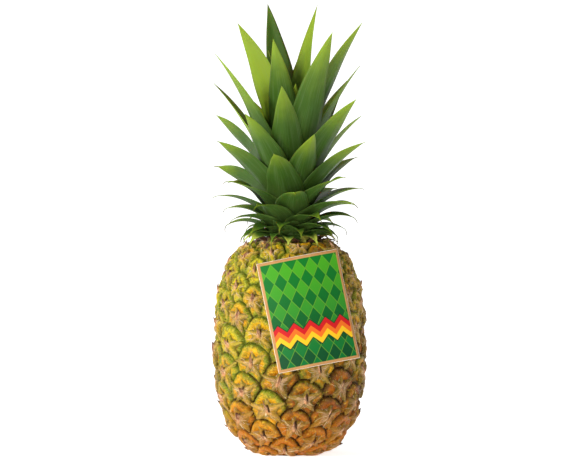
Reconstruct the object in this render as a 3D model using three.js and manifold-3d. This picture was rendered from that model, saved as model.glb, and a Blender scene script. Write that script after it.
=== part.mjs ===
// A whole ripe pineapple with its crown, standing on its own base, and the plain card label on its front.
// Millimetres, +Z up. The origin is the middle of the flat base. The front, with the label, looks along -Y.
//
// The fruit is one solid. It grew from 125 fruitlets set on one spiral, and each of them is an "eye":
// a raised six-sided tile with a grooved edge, a sunk upper half and a bract that ends in a beak.
// The crown is a stem with leaves on the same spiral, short and curled at its foot, long at its top.

import * as THREE from "three";
import { mergeVertices } from "three/addons/utils/BufferGeometryUtils.js";
import Module from "manifold-3d";

const wasm = await Module();
wasm.setup();

const TURN = 2 * Math.PI;
const GOLDEN_STEP = THREE.MathUtils.degToRad(-137.508); // from each fruitlet or leaf to the next one up

// Fruit: two half superellipses of revolution that meet at the widest level
const FRUIT_RADIUS = 60.8;
const WIDEST_Z = 85;
const LOWER_REACH = 88; // the lower half would end this far below the widest level
const UPPER_REACH = 92.5; // and the upper half this far above it
const LOWER_ROUNDNESS = [2.5, 2.5]; // exponents along the height and along the radius
const UPPER_ROUNDNESS = [2.5, 3.5];
const NECK_RADIUS = 27; // where the eyes end, under the crown

// Eyes: the area that one covers, by height, and the relief of each
const EYE_AREA = [
  [0, 420],
  [25, 608],
  [60, 676],
  [100, 722],
  [112, 574],
  [125, 408],
  [150, 380],
  [175, 360],
];
const FIRST_EYE_Z = 27; // one eye faces the front at this height, and sets the spiral's phase
// The spiral grew a little unevenly: degrees that the eyes at a height are turned towards +X
const SPIRAL_DRIFT = [[20, 5], [45, 0], [70, -1.5], [95, -8], [115, -10.5], [140, -8], [155, -3]];
const GROOVE = { corner: 3.2, middle: 2.56 }; // depth at the corners of a tile, and halfway between them
const SHOULDER = { reach: 0.76, lift: 0.2 };
const DISH = { reach: 0.4, depth: 1.3, bract: 1.1 };
const BEAK = { lift: 2.3, rise: 0.1 };
const END_MARGIN = 0.6; // an eye's middle is at least this much of an eye inside the fruit's ends
const WIDEST_TILE = 1.5; // no tile reaches this far round from its middle, in radians
const WELD = 0.02; // corners of tiles nearer than this, in radians, are one corner

// Cut stalk in the base, and the socket that the crown grows from
const STALK = { radius: 11, ring: 17, groove: 1.6, slope: 1 };
const SOCKET = { radius: 16, floor: 163, lip: 22, sunk: 1.5 };
const GAP = 0.3; // between pieces that touch

// Crown
const STEM = { foot: 21, tip: 7, top: 228, point: 4, collar: 1, sides: 16 };
const LEAF_COUNT = 72;
const FRONT_LEAF = 57; // the big leaf that faces the front
const FRONT_LEAF_TURN = THREE.MathUtils.degToRad(-2);
const LEAF_CROWDING = 2.1; // the leaves are packed towards the crown's foot by this power
const LEAF_STATIONS = [0, 0.2, 0.42, 0.65, 0.86]; // along the blade, before its tip
// The oldest leaf's measures, and what a leaf gains or sheds up to the youngest; leans are in degrees
const LEAF_LENGTH = { oldest: 26, gain: 130, power: 0.9 };
const LEAF_WIDTH = { oldest: 15, full: 33, fullFrom: 0.3, power: 0.7 };
const FOOT_LEAN = { youngest: 3, more: 57, power: 1.2 };
const TIP_LEAN = { youngest: 26, more: 109, power: 2 };
const LEAF_FOOT = { above: 1, climb: 52, inside: 0.65 };
const YOUNG = { from: 0.9, shorter: 0.4, narrower: 0.3 }; // the last leaves are not yet full grown
const BLADE = { thickness: 1.7, thinning: 0.45, curl: 1.5, taper: 2.2, waist: 0.82, channel: [0.38, 0.22] };
// How far each leaf strays from the rule: degrees of turn, share of length, degrees of lean and of twist
const STRAY = { turn: 4, length: 0.07, lean: 3, twist: 30 };
// Leaves that grew unlike the rest: index, share of length, degrees further out, degrees of added twist
const ODD_LEAVES = [
  [38, 0.88, 0, 0],
  [42, 0.9, 0, 35],
  [43, 0.93, 0, 0],
  [47, 1, 0, 50],
  [50, 1, 0, 60],
  [58, 0.78, 0, 0],
  [60, 1.1, 5, 0],
  [62, 1.2, 4, 0],
  [63, 0.8, 0, 0],
  [64, 1, 3, 0],
  [66, 1.12, -2, 0],
  [67, 0.98, 6, 0],
  [68, 0.95, 0, 60],
  [69, 1.09, 0, 0],
  [70, 0.68, 0, 0],
];
const CLEAR_OF_FRUIT = 3.4; // leaves that curl down stay this far above the fruit
const SEED = 11;
const SLIVER = 0.12; // edges shorter than this, left where leaves cross, are closed up

// Card label: its size, its gentle bend, its turn from the front, its tilt in its own plane and its lean back
const CARD = {
  width: 70.5,
  height: 91,
  thickness: 0.8,
  bend: 110,
  turn: THREE.MathUtils.degToRad(15),
  tilt: THREE.MathUtils.degToRad(9.4),
  lean: THREE.MathUtils.degToRad(10),
  z: 111.7, // where the line that it faces along leaves the fruit's middle
  margin: 6, // beaks this far beyond its edges still hold it off
};

const mix = THREE.MathUtils.lerp;

// A repeatable random draw from -1 to 1.
let state = SEED;
function draw() {
  state = (state * 1664525 + 1013904223) % 4294967296;
  return (state / 4294967296) * 2 - 1;
}

// Value of a table of [position, value] pairs, straight between its rows.
function along(table, x) {
  const next = table.findIndex(([position]) => position >= x);
  if (next === 0) return table[0][1];
  if (next < 0) return table.at(-1)[1];
  const [[a, low], [b, high]] = [table[next - 1], table[next]];
  return mix(low, high, (x - a) / (b - a));
}

// The fruit's radius at a height, on the crests of its eyes.
function radiusAt(z) {
  const upper = z > WIDEST_Z;
  const reach = upper ? UPPER_REACH : LOWER_REACH;
  const [a, b] = upper ? UPPER_ROUNDNESS : LOWER_ROUNDNESS;
  const share = Math.min(1, Math.abs(z - WIDEST_Z) / reach);
  return FRUIT_RADIUS * (1 - share ** a) ** (1 / b);
}

// The height on the fruit's upper or lower half at a radius.
function heightAt(radius, upper) {
  const reach = upper ? UPPER_REACH : -LOWER_REACH;
  const [a, b] = upper ? UPPER_ROUNDNESS : LOWER_ROUNDNESS;
  const share = Math.min(1, radius / FRUIT_RADIUS);
  return WIDEST_Z + reach * (1 - share ** b) ** (1 / a);
}

// The outline from base to neck, in small steps. Each row holds the radius, the height, the outward normal,
// how far up the unrolled fruit it is (each step measured in its own radius) and how many eyes lie below it.
function tracedOutline() {
  const steps = 400;
  const rows = [];
  for (let i = 0; i <= steps; i++) {
    const share = (i / steps) * 2 - 1; // -1 at the base, 0 at the widest level, 1 at the neck
    const end = share < 0 ? radiusAt(0) : NECK_RADIUS;
    const r = FRUIT_RADIUS * Math.cos(Math.acos(end / FRUIT_RADIUS) * share);
    rows.push({ r, z: heightAt(r, share > 0) });
  }
  for (const [i, row] of rows.entries()) {
    const before = rows[Math.max(0, i - 1)];
    const step = Math.hypot(row.r - before.r, row.z - before.z);
    row.up = i ? before.up + step / row.r : 0;
    row.eyes = i ? before.eyes + (TURN * row.r * step) / along(EYE_AREA, row.z) : 0;
  }
  for (const [i, row] of rows.entries()) {
    const [a, b] = [rows[Math.max(0, i - 1)], rows[Math.min(steps, i + 1)]];
    const length = Math.hypot(b.r - a.r, b.z - a.z);
    row.normal = [(b.z - a.z) / length, -(b.r - a.r) / length];
  }
  return rows;
}

const outline = tracedOutline();
const NECK_Z = outline.at(-1).z;
const lowest = 0;
const highest = outline.at(-1).up;

// The outline's row, mixed between two steps, where one of its rising values is reached.
function rowWhere(key, value) {
  let i = outline.findIndex((row) => row[key] >= value);
  if (i < 0) i = outline.length - 1;
  const [a, b] = [outline[Math.max(0, i - 1)], outline[i]];
  const span = b[key] - a[key];
  const share = span > 0 ? THREE.MathUtils.clamp((value - a[key]) / span, 0, 1) : 0;
  const normal = [0, 1].map((axis) => mix(a.normal[axis], b.normal[axis], share));
  const between = (name) => mix(a[name], b[name], share);
  return { r: between("r"), z: between("z"), up: between("up"), eyes: between("eyes"), normal };
}

// A point over the fruit: u is the turn from the front towards +X, v the height on the unrolled fruit.
// Nothing reaches below the base, which the fruit stands on.
function fruitPoint(u, v, lift) {
  const { r, z, normal } = rowWhere("up", v);
  const radius = r + normal[0] * lift;
  return [radius * Math.sin(u), -radius * Math.cos(u), Math.max(0, z + normal[1] * lift)];
}

// The middle of every eye on the unrolled fruit.
function eyeMiddles() {
  const phase = rowWhere("z", FIRST_EYE_Z).eyes;
  const middles = [];
  for (let n = Math.ceil(END_MARGIN - phase); n + phase < outline.at(-1).eyes - END_MARGIN; n++) {
    const { z, up } = rowWhere("eyes", n + phase);
    const turn = n * GOLDEN_STEP + THREE.MathUtils.degToRad(along(SPIRAL_DRIFT, z));
    middles.push([turn - TURN * Math.round(turn / TURN), up]);
  }
  return middles;
}

// What is left of a polygon on the near side of the line halfway between two points.
function nearSide(polygon, [x, y], [otherX, otherY]) {
  const [nx, ny] = [otherX - x, otherY - y];
  const limit = (otherX ** 2 + otherY ** 2 - x ** 2 - y ** 2) / 2;
  const beyond = ([px, py]) => px * nx + py * ny - limit;
  const kept = [];
  polygon.forEach((point, i) => {
    const next = polygon[(i + 1) % polygon.length];
    const [a, b] = [beyond(point), beyond(next)];
    if (a <= 0) kept.push(point);
    if (a < 0 !== b < 0) {
      const share = a / (a - b);
      kept.push([mix(point[0], next[0], share), mix(point[1], next[1], share)]);
    }
  });
  return kept;
}

// The tile of an eye: the part of the unrolled fruit that is nearer to it than to any other eye.
function tileOf(middle, middles) {
  const [u, v] = middle;
  const [left, right] = [u - WIDEST_TILE, u + WIDEST_TILE];
  let tile = [[left, lowest], [right, lowest], [right, highest], [left, highest]];
  for (const other of middles)
    for (const lap of [-TURN, 0, TURN])
      if (other !== middle || lap) tile = nearSide(tile, [u, v], [other[0] + lap, other[1]]);
  return tile;
}

// Collects points and triangles, and welds the points of grooves that neighbouring tiles share.
class Skin {
  points = [];
  triangles = [];
  corners = [];

  add(point) {
    return this.points.push(point) - 1;
  }

  groove(u, v, depth) {
    const near = this.corners.find((c) => {
      const turn = (c.u - u) / TURN;
      return Math.abs(turn - Math.round(turn)) * TURN < WELD && Math.abs(c.v - v) < WELD;
    });
    if (near) return near;
    const onEdge = v < lowest + WELD || v > highest - WELD;
    const corner = { u, v, onEdge, index: this.add(fruitPoint(u, v, onEdge ? 0 : -depth)) };
    this.corners.push(corner);
    return corner;
  }

  // Joins two closed rings, the outer one holding as many points as the inner one, or twice as many.
  join(outer, inner) {
    const ratio = outer.length / inner.length;
    inner.forEach((a, i) => {
      const b = inner[(i + 1) % inner.length];
      const from = i * ratio;
      const at = (k) => outer[(from + k) % outer.length];
      this.triangles.push([at(0), at(1), a]);
      if (ratio === 2) this.triangles.push([at(1), b, a], [at(1), at(2), b]);
      else this.triangles.push([at(1), b, a]);
    });
  }

  fan(ring, middle) {
    ring.forEach((a, i) => this.triangles.push([a, ring[(i + 1) % ring.length], middle]));
  }

  geometry() {
    const made = new THREE.BufferGeometry();
    made.setAttribute("position", new THREE.Float32BufferAttribute(this.points.flat(), 3));
    made.setIndex(this.triangles.flat());
    made.computeVertexNormals();
    return made;
  }
}

// One eye: its groove, raised shoulder, sunk upper half with the bract below, and the beak.
function addEye(skin, middle, tile) {
  const [u, v] = middle;
  const corners = tile.map(([x, y]) => skin.groove(x, y, GROOVE.corner));
  const distinct = corners.filter((c, i) => c !== corners[(i + 1) % corners.length]);
  const rim = [];
  distinct.forEach((a, i) => {
    const b = distinct[(i + 1) % distinct.length];
    const turn = b.u - a.u;
    const halfway = a.u + (turn - TURN * Math.round(turn / TURN)) / 2;
    rim.push(a, skin.groove(halfway, (a.v + b.v) / 2, GROOVE.middle));
  });
  const towards = (corner, reach, rise = 0) => {
    const turn = corner.u - u;
    return [u + (turn - TURN * Math.round(turn / TURN)) * reach, v + (corner.v - v) * reach + rise];
  };
  const height = Math.max(...tile.map(([, y]) => y)) - v;
  const shoulder = rim.map((c) => skin.add(fruitPoint(...towards(c, SHOULDER.reach), SHOULDER.lift)));
  const dish = distinct.map((c) => {
    const lift = c.v > v ? -DISH.depth : DISH.bract;
    return skin.add(fruitPoint(...towards(c, DISH.reach), lift));
  });
  const beak = skin.add(fruitPoint(u, v + height * BEAK.rise, BEAK.lift));
  skin.join(rim.map((c) => c.index), shoulder);
  skin.join(shoulder, dish);
  skin.fan(dish, beak);
}

// Closes the skin with rings of the given [radius, height], inwards from its open edge, and a middle point.
function closeEnd(skin, upper, rings) {
  const edge = skin.corners.filter((c) => c.onEdge && c.v > highest / 2 === upper);
  edge.sort((a, b) => (upper ? a.u - b.u : b.u - a.u));
  let outer = edge.map((c) => c.index);
  for (const [radius, z] of rings) {
    const inner = edge.map(({ u }) => skin.add([radius * Math.sin(u), -radius * Math.cos(u), z]));
    skin.join(outer, inner);
    outer = inner;
  }
  skin.fan(outer, skin.add([0, 0, rings.at(-1)[1]]));
}

function fruitGeometry() {
  const skin = new Skin();
  const middles = eyeMiddles();
  for (const middle of middles) addEye(skin, middle, tileOf(middle, middles));
  for (const corner of skin.corners) corner.u -= TURN * Math.round(corner.u / TURN);
  const { radius, ring, groove, slope } = STALK;
  closeEnd(skin, false, [[ring, 0], [ring - slope, groove], [radius + slope, groove], [radius, 0]]);
  closeEnd(skin, true, [[SOCKET.lip, NECK_Z - SOCKET.sunk]]);
  const hole = new THREE.CylinderGeometry(SOCKET.radius, SOCKET.radius, NECK_Z - SOCKET.floor, STEM.sides);
  hole.rotateX(Math.PI / 2).translate(0, 0, (NECK_Z + SOCKET.floor) / 2);
  return geometryOf(solidOf(skin.geometry()).subtract(solidOf(hole)));
}

// A closed mesh as a solid that can be joined and cut, and back.
function solidOf(geometry) {
  const bare = new THREE.BufferGeometry();
  bare.setAttribute("position", geometry.getAttribute("position"));
  bare.setIndex(geometry.index);
  const merged = mergeVertices(bare, 1e-3);
  return new wasm.Manifold(
    new wasm.Mesh({
      numProp: 3,
      vertProperties: new Float32Array(merged.attributes.position.array),
      triVerts: new Uint32Array(merged.index.array),
    }),
  );
}

function geometryOf(solid) {
  const { vertProperties, triVerts } = solid.getMesh();
  const made = new THREE.BufferGeometry();
  made.setAttribute("position", new THREE.Float32BufferAttribute(vertProperties, 3));
  made.setIndex([...triVerts]);
  return made;
}

// How a leaf grows, by its age: 0 is the oldest, at the crown's foot, and 1 the youngest, at the top.
function leafHabit(age) {
  const youth = Math.max(0, (age - YOUNG.from) / (1 - YOUNG.from));
  const fullness = Math.min(1, age / LEAF_WIDTH.fullFrom) ** LEAF_WIDTH.power;
  const grown = age ** LEAF_LENGTH.power;
  return {
    length: (LEAF_LENGTH.oldest + LEAF_LENGTH.gain * grown) * (1 - YOUNG.shorter * youth),
    width: mix(LEAF_WIDTH.oldest, LEAF_WIDTH.full, fullness) * (1 - YOUNG.narrower * youth),
    footLean: FOOT_LEAN.youngest + FOOT_LEAN.more * (1 - age) ** FOOT_LEAN.power,
    tipLean: TIP_LEAN.youngest + TIP_LEAN.more * (1 - age) ** TIP_LEAN.power,
    footZ: NECK_Z + LEAF_FOOT.above + LEAF_FOOT.climb * grown,
  };
}

function stemRadiusAt(z) {
  return mix(STEM.foot, STEM.tip, THREE.MathUtils.clamp((z - NECK_Z) / (STEM.top - NECK_Z), 0, 1));
}

// Lifts the points of one section together, so that none of them is too near the fruit's rounded top.
function liftClear(section) {
  const needs = section.map((point) => {
    const radius = Math.hypot(point.x, point.y);
    const top = radius < FRUIT_RADIUS ? heightAt(Math.max(radius, NECK_RADIUS), true) : 0;
    return top + CLEAR_OF_FRUIT * Math.min(1, radius / NECK_RADIUS) - point.z;
  });
  const lift = Math.max(0, ...needs);
  for (const point of section) point.z += lift;
}

// One leaf: a channelled, tapering blade with four corners in each section: rib below, margins, rib above.
function leafGeometry(index) {
  const age = ((index + 0.5) / LEAF_COUNT) ** LEAF_CROWDING;
  const habit = leafHabit(age);
  const strayed = THREE.MathUtils.degToRad(STRAY.turn * draw());
  const turn = FRONT_LEAF_TURN + (index - FRONT_LEAF) * GOLDEN_STEP + strayed;
  const [, longer, outer, turned] = ODD_LEAVES.find(([odd]) => odd === index) ?? [index, 1, 0, 0];
  const length = habit.length * longer * (1 + STRAY.length * draw());
  const lean = STRAY.lean * draw() + outer;
  const twist = THREE.MathUtils.degToRad(STRAY.twist * draw() + turned);
  const outward = new THREE.Vector3(Math.sin(turn), -Math.cos(turn), 0);
  const sideways = new THREE.Vector3(Math.cos(turn), Math.sin(turn), 0);
  const upward = new THREE.Vector3(0, 0, 1);
  const leanAt = (s) => THREE.MathUtils.degToRad(mix(habit.footLean, habit.tipLean, s ** BLADE.curl) + lean);

  const spine = outward.clone().multiplyScalar(stemRadiusAt(habit.footZ) * LEAF_FOOT.inside);
  spine.z = habit.footZ;
  const points = [];
  let reached = 0;
  const advance = (to) => {
    const steps = 6;
    for (let i = 0; i < steps; i++) {
      const s = reached + ((to - reached) * (i + 0.5)) / steps;
      const step = ((to - reached) / steps) * length;
      spine.addScaledVector(outward, Math.sin(leanAt(s)) * step);
      spine.addScaledVector(upward, Math.cos(leanAt(s)) * step);
    }
    reached = to;
  };
  for (const s of LEAF_STATIONS) {
    advance(s);
    const half = (habit.width / 2) * (1 - s ** BLADE.taper) * Math.min(1, BLADE.waist + s);
    const inward = outward.clone().multiplyScalar(-Math.cos(leanAt(s)));
    inward.addScaledVector(upward, Math.sin(leanAt(s)));
    const across = sideways.clone().multiplyScalar(Math.cos(twist * s));
    across.addScaledVector(inward, Math.sin(twist * s));
    const channel = half * mix(...BLADE.channel, s);
    const thick = BLADE.thickness * (1 - BLADE.thinning * s);
    const section = [
      spine.clone().addScaledVector(inward, -thick / 2),
      spine.clone().addScaledVector(across, half).addScaledVector(inward, channel),
      spine.clone().addScaledVector(inward, thick / 2),
      spine.clone().addScaledVector(across, -half).addScaledVector(inward, channel),
    ];
    if (s > 0) liftClear(section);
    points.push(...section);
  }
  advance(1);
  points.push(spine.clone());
  liftClear([points.at(-1)]);

  const triangles = [[0, 2, 1], [0, 3, 2]];
  const tip = points.length - 1;
  for (let section = 0; section < LEAF_STATIONS.length; section++)
    for (let corner = 0; corner < 4; corner++) {
      const a = section * 4 + corner;
      const b = section * 4 + ((corner + 1) % 4);
      if (a + 4 >= tip) triangles.push([a, b, tip]);
      else triangles.push([a, b, a + 4], [b, b + 4, a + 4]);
    }
  const made = new THREE.BufferGeometry();
  made.setAttribute("position", new THREE.Float32BufferAttribute(points.flatMap((p) => p.toArray()), 3));
  made.setIndex(triangles.flat());
  return made;
}

function stemGeometry() {
  const foot = SOCKET.floor + GAP;
  const profile = [
    [0, foot],
    [SOCKET.radius - GAP, foot],
    [SOCKET.radius - GAP, NECK_Z],
    [STEM.foot, NECK_Z + STEM.collar],
    [STEM.tip, STEM.top],
    [0, STEM.top + STEM.point],
  ].map(([r, z]) => new THREE.Vector2(r, z));
  return new THREE.LatheGeometry(profile, STEM.sides).rotateX(Math.PI / 2);
}

// The stem and all its leaves, joined. Loose scraps and sealed hollows between the leaves are dropped.
function crownGeometry() {
  let joined = solidOf(stemGeometry());
  for (let i = 0; i < LEAF_COUNT; i++) joined = joined.add(solidOf(leafGeometry(i)));
  const bodies = joined.simplify(SLIVER).decompose();
  bodies.sort((a, b) => b.volume() - a.volume());
  return geometryOf(bodies[0]);
}

// The card on its own: a thin sheet bent round an upright line, its back's middle at the origin, facing +X.
function cardGeometry() {
  const { width, height, thickness, bend } = CARD;
  const half = width / 2 / bend;
  const section = new THREE.Shape();
  section.absarc(-bend, 0, bend + thickness, -half, half, false);
  section.absarc(-bend, 0, bend, half, -half, true);
  const sheet = new THREE.ExtrudeGeometry(section, { depth: height, curveSegments: 10, bevelEnabled: false });
  return sheet.translate(0, 0, -height / 2);
}

// Turns and leans the card as it hangs, then slides it out along its facing until the beaks just clear it.
function placeCard(card, fruit) {
  card.rotation.set(CARD.tilt, -CARD.lean, CARD.turn - TURN / 4, "ZYX");
  const back = new THREE.Quaternion().setFromEuler(card.rotation).invert();
  const beaks = fruit.getAttribute("position");
  const point = new THREE.Vector3();
  let reach = 0;
  for (let i = 0; i < beaks.count; i++) {
    point.fromBufferAttribute(beaks, i).setZ(beaks.getZ(i) - CARD.z).applyQuaternion(back);
    if (Math.abs(point.y) > CARD.width / 2 + CARD.margin) continue;
    if (Math.abs(point.z) > CARD.height / 2 + CARD.margin) continue;
    const fallAway = CARD.bend - Math.sqrt(CARD.bend ** 2 - point.y ** 2);
    reach = Math.max(reach, point.x + fallAway);
  }
  card.position.set(reach + GAP, 0, 0).applyEuler(card.rotation);
  card.position.z += CARD.z;
}

function piece(name, geometry, color, roughness) {
  const mesh = new THREE.Mesh(geometry, new THREE.MeshStandardMaterial({ color, roughness, metalness: 0 }));
  mesh.name = name;
  return mesh;
}

const fruit = piece("fruit", fruitGeometry(), 0xb9862b, 0.6);
const crown = piece("crown", crownGeometry(), 0x4d7a2c, 0.5);
const label = piece("label_card", cardGeometry(), 0x1f8a43, 0.35);
placeCard(label, fruit.geometry);

const pineapple = new THREE.Group();
pineapple.add(fruit, crown, label);

export default pineapple;
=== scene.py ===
# %% [markdown]
# # A ripe pineapple, grown from its spiral
#
# A pineapple is about 125 small fruits that have grown together on one spiral. Each of them is an "eye".
# Its crown is a rosette of leaves on the same spiral. This lesson grows both from that rule, then gives
# each surface the colours and the small dry parts that the real one has.
#
# The solids come first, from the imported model. It is in metres, stands on z = 0 and shows its front to -Y.
# The lesson works in millimetres and turns to metres only where a mesh is made.

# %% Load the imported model
import math

import bmesh
import bpy
import numpy as np
from mathutils import Matrix, Vector, noise


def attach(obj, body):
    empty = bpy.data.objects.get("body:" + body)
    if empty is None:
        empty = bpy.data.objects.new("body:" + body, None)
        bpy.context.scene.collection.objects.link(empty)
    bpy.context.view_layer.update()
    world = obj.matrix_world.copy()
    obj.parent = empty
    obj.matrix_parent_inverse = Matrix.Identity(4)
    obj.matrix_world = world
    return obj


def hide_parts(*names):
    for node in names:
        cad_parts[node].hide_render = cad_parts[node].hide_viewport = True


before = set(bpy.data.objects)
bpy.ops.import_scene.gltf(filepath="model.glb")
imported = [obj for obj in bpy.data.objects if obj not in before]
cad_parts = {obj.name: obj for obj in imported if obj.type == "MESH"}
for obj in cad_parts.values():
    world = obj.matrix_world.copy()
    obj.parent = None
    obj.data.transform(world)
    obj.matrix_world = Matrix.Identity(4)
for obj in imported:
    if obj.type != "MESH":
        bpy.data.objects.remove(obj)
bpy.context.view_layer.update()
MM = 0.001
TURN = 2 * math.pi
GOLDEN_STEP = math.radians(-137.508)  # from each eye or leaf to the next one up
print("nodes:", sorted(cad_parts))

# %% [markdown]
# ## The camera first
#
# The picture was taken from the front with a long lens, from a little above. One pixel of its 571 by 459
# covers 0.822 mm at the fruit. Framing the camera from that number, instead of by eye, makes every later
# comparison fair.

# %% Camera
IMAGE = (571, 459)
MM_PER_PIXEL = 0.822
AXIS_PIXEL = 290  # where the fruit's axis is, across the picture
BASE_PIXEL = 453.5  # where the middle of its base is, down the picture
LOOK_DOWN = math.radians(4)
CAMERA_DISTANCE = 6000
SENSOR_WIDTH = 36


def add_camera():
    aside = (IMAGE[0] / 2 - AXIS_PIXEL) * MM_PER_PIXEL
    height = (BASE_PIXEL - IMAGE[1] / 2) * MM_PER_PIXEL / math.cos(LOOK_DOWN)
    back = CAMERA_DISTANCE * math.cos(LOOK_DOWN)
    data = bpy.data.cameras.new("camera")
    data.sensor_width = SENSOR_WIDTH
    data.lens = SENSOR_WIDTH * CAMERA_DISTANCE / (IMAGE[0] * MM_PER_PIXEL)
    camera = bpy.data.objects.new("camera", data)
    camera.location = Vector((aside, -back, height + CAMERA_DISTANCE * math.sin(LOOK_DOWN))) * MM
    camera.rotation_euler = (math.pi / 2 - LOOK_DOWN, 0, 0)
    bpy.context.collection.objects.link(camera)
    bpy.context.scene.camera = camera
    print("lens:", round(data.lens), "mm")


add_camera()

# %% [markdown]
# ## Draws that repeat
#
# No two eyes or leaves are alike, so many sizes get a small random draw. The leaves must fall where the
# solids have them, so their draws come from the same simple generator, with the same seed. Everything else
# has seeds of its own, so that each run gives the same fruit.

# %% Random draws
MULTIPLIER = 1664525
ADDED = 1013904223
DRAW_RANGE = 2**32


class Draws:
    """Repeatable draws from -1 to 1."""

    def __init__(self, seed):
        self.state = seed

    def __call__(self):
        self.state = (self.state * MULTIPLIER + ADDED) % DRAW_RANGE
        return self.state / DRAW_RANGE * 2 - 1

    def between(self, low, high):
        return low + (high - low) * (self() + 1) / 2


# %% [markdown]
# ## Where the card lies
#
# A thin printed card rests on the eyes, gently bent and tilted. Its turns are known, and the foremost point
# of the solid tells how far out it lies. It comes this early because nothing on the fruit may stand through
# it: whatever is built on the skin is pressed back behind the card.

# %% The card's place
CARD = {
    "width": 70.5,
    "height": 91,
    "thickness": 0.45,
    "solid_thickness": 0.8,
    "bend": 110,
    "turn": math.radians(15),
    "tilt": math.radians(9.4),
    "lean": math.radians(10),
    "z": 111.7,
}
CARD_BACK = CARD["solid_thickness"] - CARD["thickness"]
CARD_ROOM = 0.35  # from the card's back to what lies behind it


def card_frame():
    """The turn of the card, and the point behind the middle of its face, in millimetres."""
    turned = Matrix.Rotation(CARD["turn"] - TURN / 4, 3, "Z")
    turned = turned @ Matrix.Rotation(-CARD["lean"], 3, "Y") @ Matrix.Rotation(CARD["tilt"], 3, "X")
    turned = np.array(turned)
    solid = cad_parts["label_card"].data
    corners = np.array([v.co for v in solid.vertices]) / MM - (0, 0, CARD["z"])
    front = (corners @ turned)[:, 0].max()
    middle = turned @ np.array([front - CARD["solid_thickness"], 0, 0]) + (0, 0, CARD["z"])
    return turned, middle


card_axes, card_middle = card_frame()


def behind_card(points):
    """The points, with those that would touch the card pressed back towards the middle of its bend."""
    seen = (points - card_middle) @ card_axes
    out = seen[..., 0] + CARD["bend"]
    reach = np.hypot(out, seen[..., 1])
    across = np.abs(np.arctan2(seen[..., 1], out)) * CARD["bend"] - CARD["width"] / 2
    outside = np.maximum(0, np.maximum(across, np.abs(seen[..., 2]) - CARD["height"] / 2))
    share = np.minimum(1, (CARD["bend"] + CARD_BACK - CARD_ROOM + outside) / reach)
    pressed = np.stack([out * share - CARD["bend"], seen[..., 1] * share, seen[..., 2]], axis=-1)
    return pressed @ card_axes.T + card_middle


# %% [markdown]
# ## The fruit's outline
#
# A pineapple is a barrel, fuller than an egg and rounder than a can. Two half superellipses that meet at
# the widest level describe it. The outline is walked once in small steps, and each step stores where it is,
# which way the skin faces, and how many eyes lie below it.

# %% Outline of the fruit
FRUIT_RADIUS = 60.8
WIDEST_Z = 85
REACH = {"lower": 88, "upper": 92.5}  # each half would end this far from the widest level
ROUNDNESS = {"lower": (2.5, 2.5), "upper": (2.5, 3.5)}  # exponents along the height and the radius
NECK_RADIUS = 27
EYE_AREA = (
    (0, 25, 60, 100, 112, 125, 150, 175),
    (420, 608, 676, 722, 574, 408, 380, 360),
)  # square millimetres that one eye covers, by height
OUTLINE_STEPS = 400


def radius_at(z):
    half = "upper" if z > WIDEST_Z else "lower"
    a, b = ROUNDNESS[half]
    share = min(1, abs(z - WIDEST_Z) / REACH[half])
    return FRUIT_RADIUS * (1 - share**a) ** (1 / b)


def height_at(radius, half):
    a, b = ROUNDNESS[half]
    reach = REACH[half] if half == "upper" else -REACH[half]
    return WIDEST_Z + reach * (1 - np.minimum(1, radius / FRUIT_RADIUS) ** b) ** (1 / a)


class Outline:
    """The fruit's profile from base to neck, as arrays that rise together."""

    def __init__(self):
        share = np.linspace(-1, 1, OUTLINE_STEPS + 1)
        end = np.where(share < 0, radius_at(0), NECK_RADIUS)
        self.r = FRUIT_RADIUS * np.cos(np.arccos(end / FRUIT_RADIUS) * share)
        self.z = np.where(share > 0, height_at(self.r, "upper"), height_at(self.r, "lower"))
        step = np.hypot(np.diff(self.r), np.diff(self.z))
        area = np.interp(self.z[1:], *EYE_AREA)
        self.up = np.concatenate([[0], np.cumsum(step / self.r[1:])])
        self.eyes = np.concatenate([[0], np.cumsum(TURN * self.r[1:] * step / area)])
        slope = np.hypot(np.gradient(self.r), np.gradient(self.z))
        self.out = np.gradient(self.z) / slope
        self.rise = -np.gradient(self.r) / slope


outline = Outline()
NECK_Z = float(outline.z[-1])
LOWEST = 0.0
HIGHEST = float(outline.up[-1])
print("neck at", round(NECK_Z, 1), "mm;", int(outline.eyes[-1]), "eyes' worth of skin")


def on_fruit(turn, up, lift):
    """Points at a turn from the front towards +X and a height on the unrolled fruit, lifted off the skin."""
    reach = np.interp(up, outline.up, outline.r) + np.interp(up, outline.up, outline.out) * lift
    height = np.interp(up, outline.up, outline.z) + np.interp(up, outline.up, outline.rise) * lift
    points = np.stack([reach * np.sin(turn), -reach * np.cos(turn), np.maximum(0, height)], axis=-1)
    return behind_card(points)


# %% [markdown]
# ## Where the eyes sit
#
# Each eye is turned 137.5 degrees from the one below it, the angle that sunflowers and cones use too. The
# fruit is unrolled so that angles stay true, and there each eye owns the part that is nearer to it than to
# any other: a tile with five or six sides. A texture could do this, but a tile of its own gives every eye a
# centre, an upper edge and a lower edge, and all its dry parts need those.

# %% Eye centres and tiles
FIRST_EYE_Z = 27  # one eye faces the front at this height
SPIRAL_DRIFT = (
    (20, 45, 70, 95, 115, 140, 155),
    (5, 0, -1.5, -8, -10.5, -8, -3),
)  # degrees that the eyes at a height are turned towards +X: no spiral grows quite evenly
END_MARGIN = 0.6  # eyes' worth of skin, between an end and the nearest middle
WIDEST_TILE = 1.5  # radians to each side of its middle


def eye_middles():
    phase = np.interp(FIRST_EYE_Z, outline.z, outline.eyes)
    last = outline.eyes[-1] - END_MARGIN
    middles = []
    n = math.ceil(END_MARGIN - phase)
    while n + phase < last:
        z = np.interp(n + phase, outline.eyes, outline.z)
        turn = n * GOLDEN_STEP + math.radians(np.interp(z, *SPIRAL_DRIFT))
        up = float(np.interp(n + phase, outline.eyes, outline.up))
        middles.append((turn - TURN * round(turn / TURN), up))
        n += 1
    return middles


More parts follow.
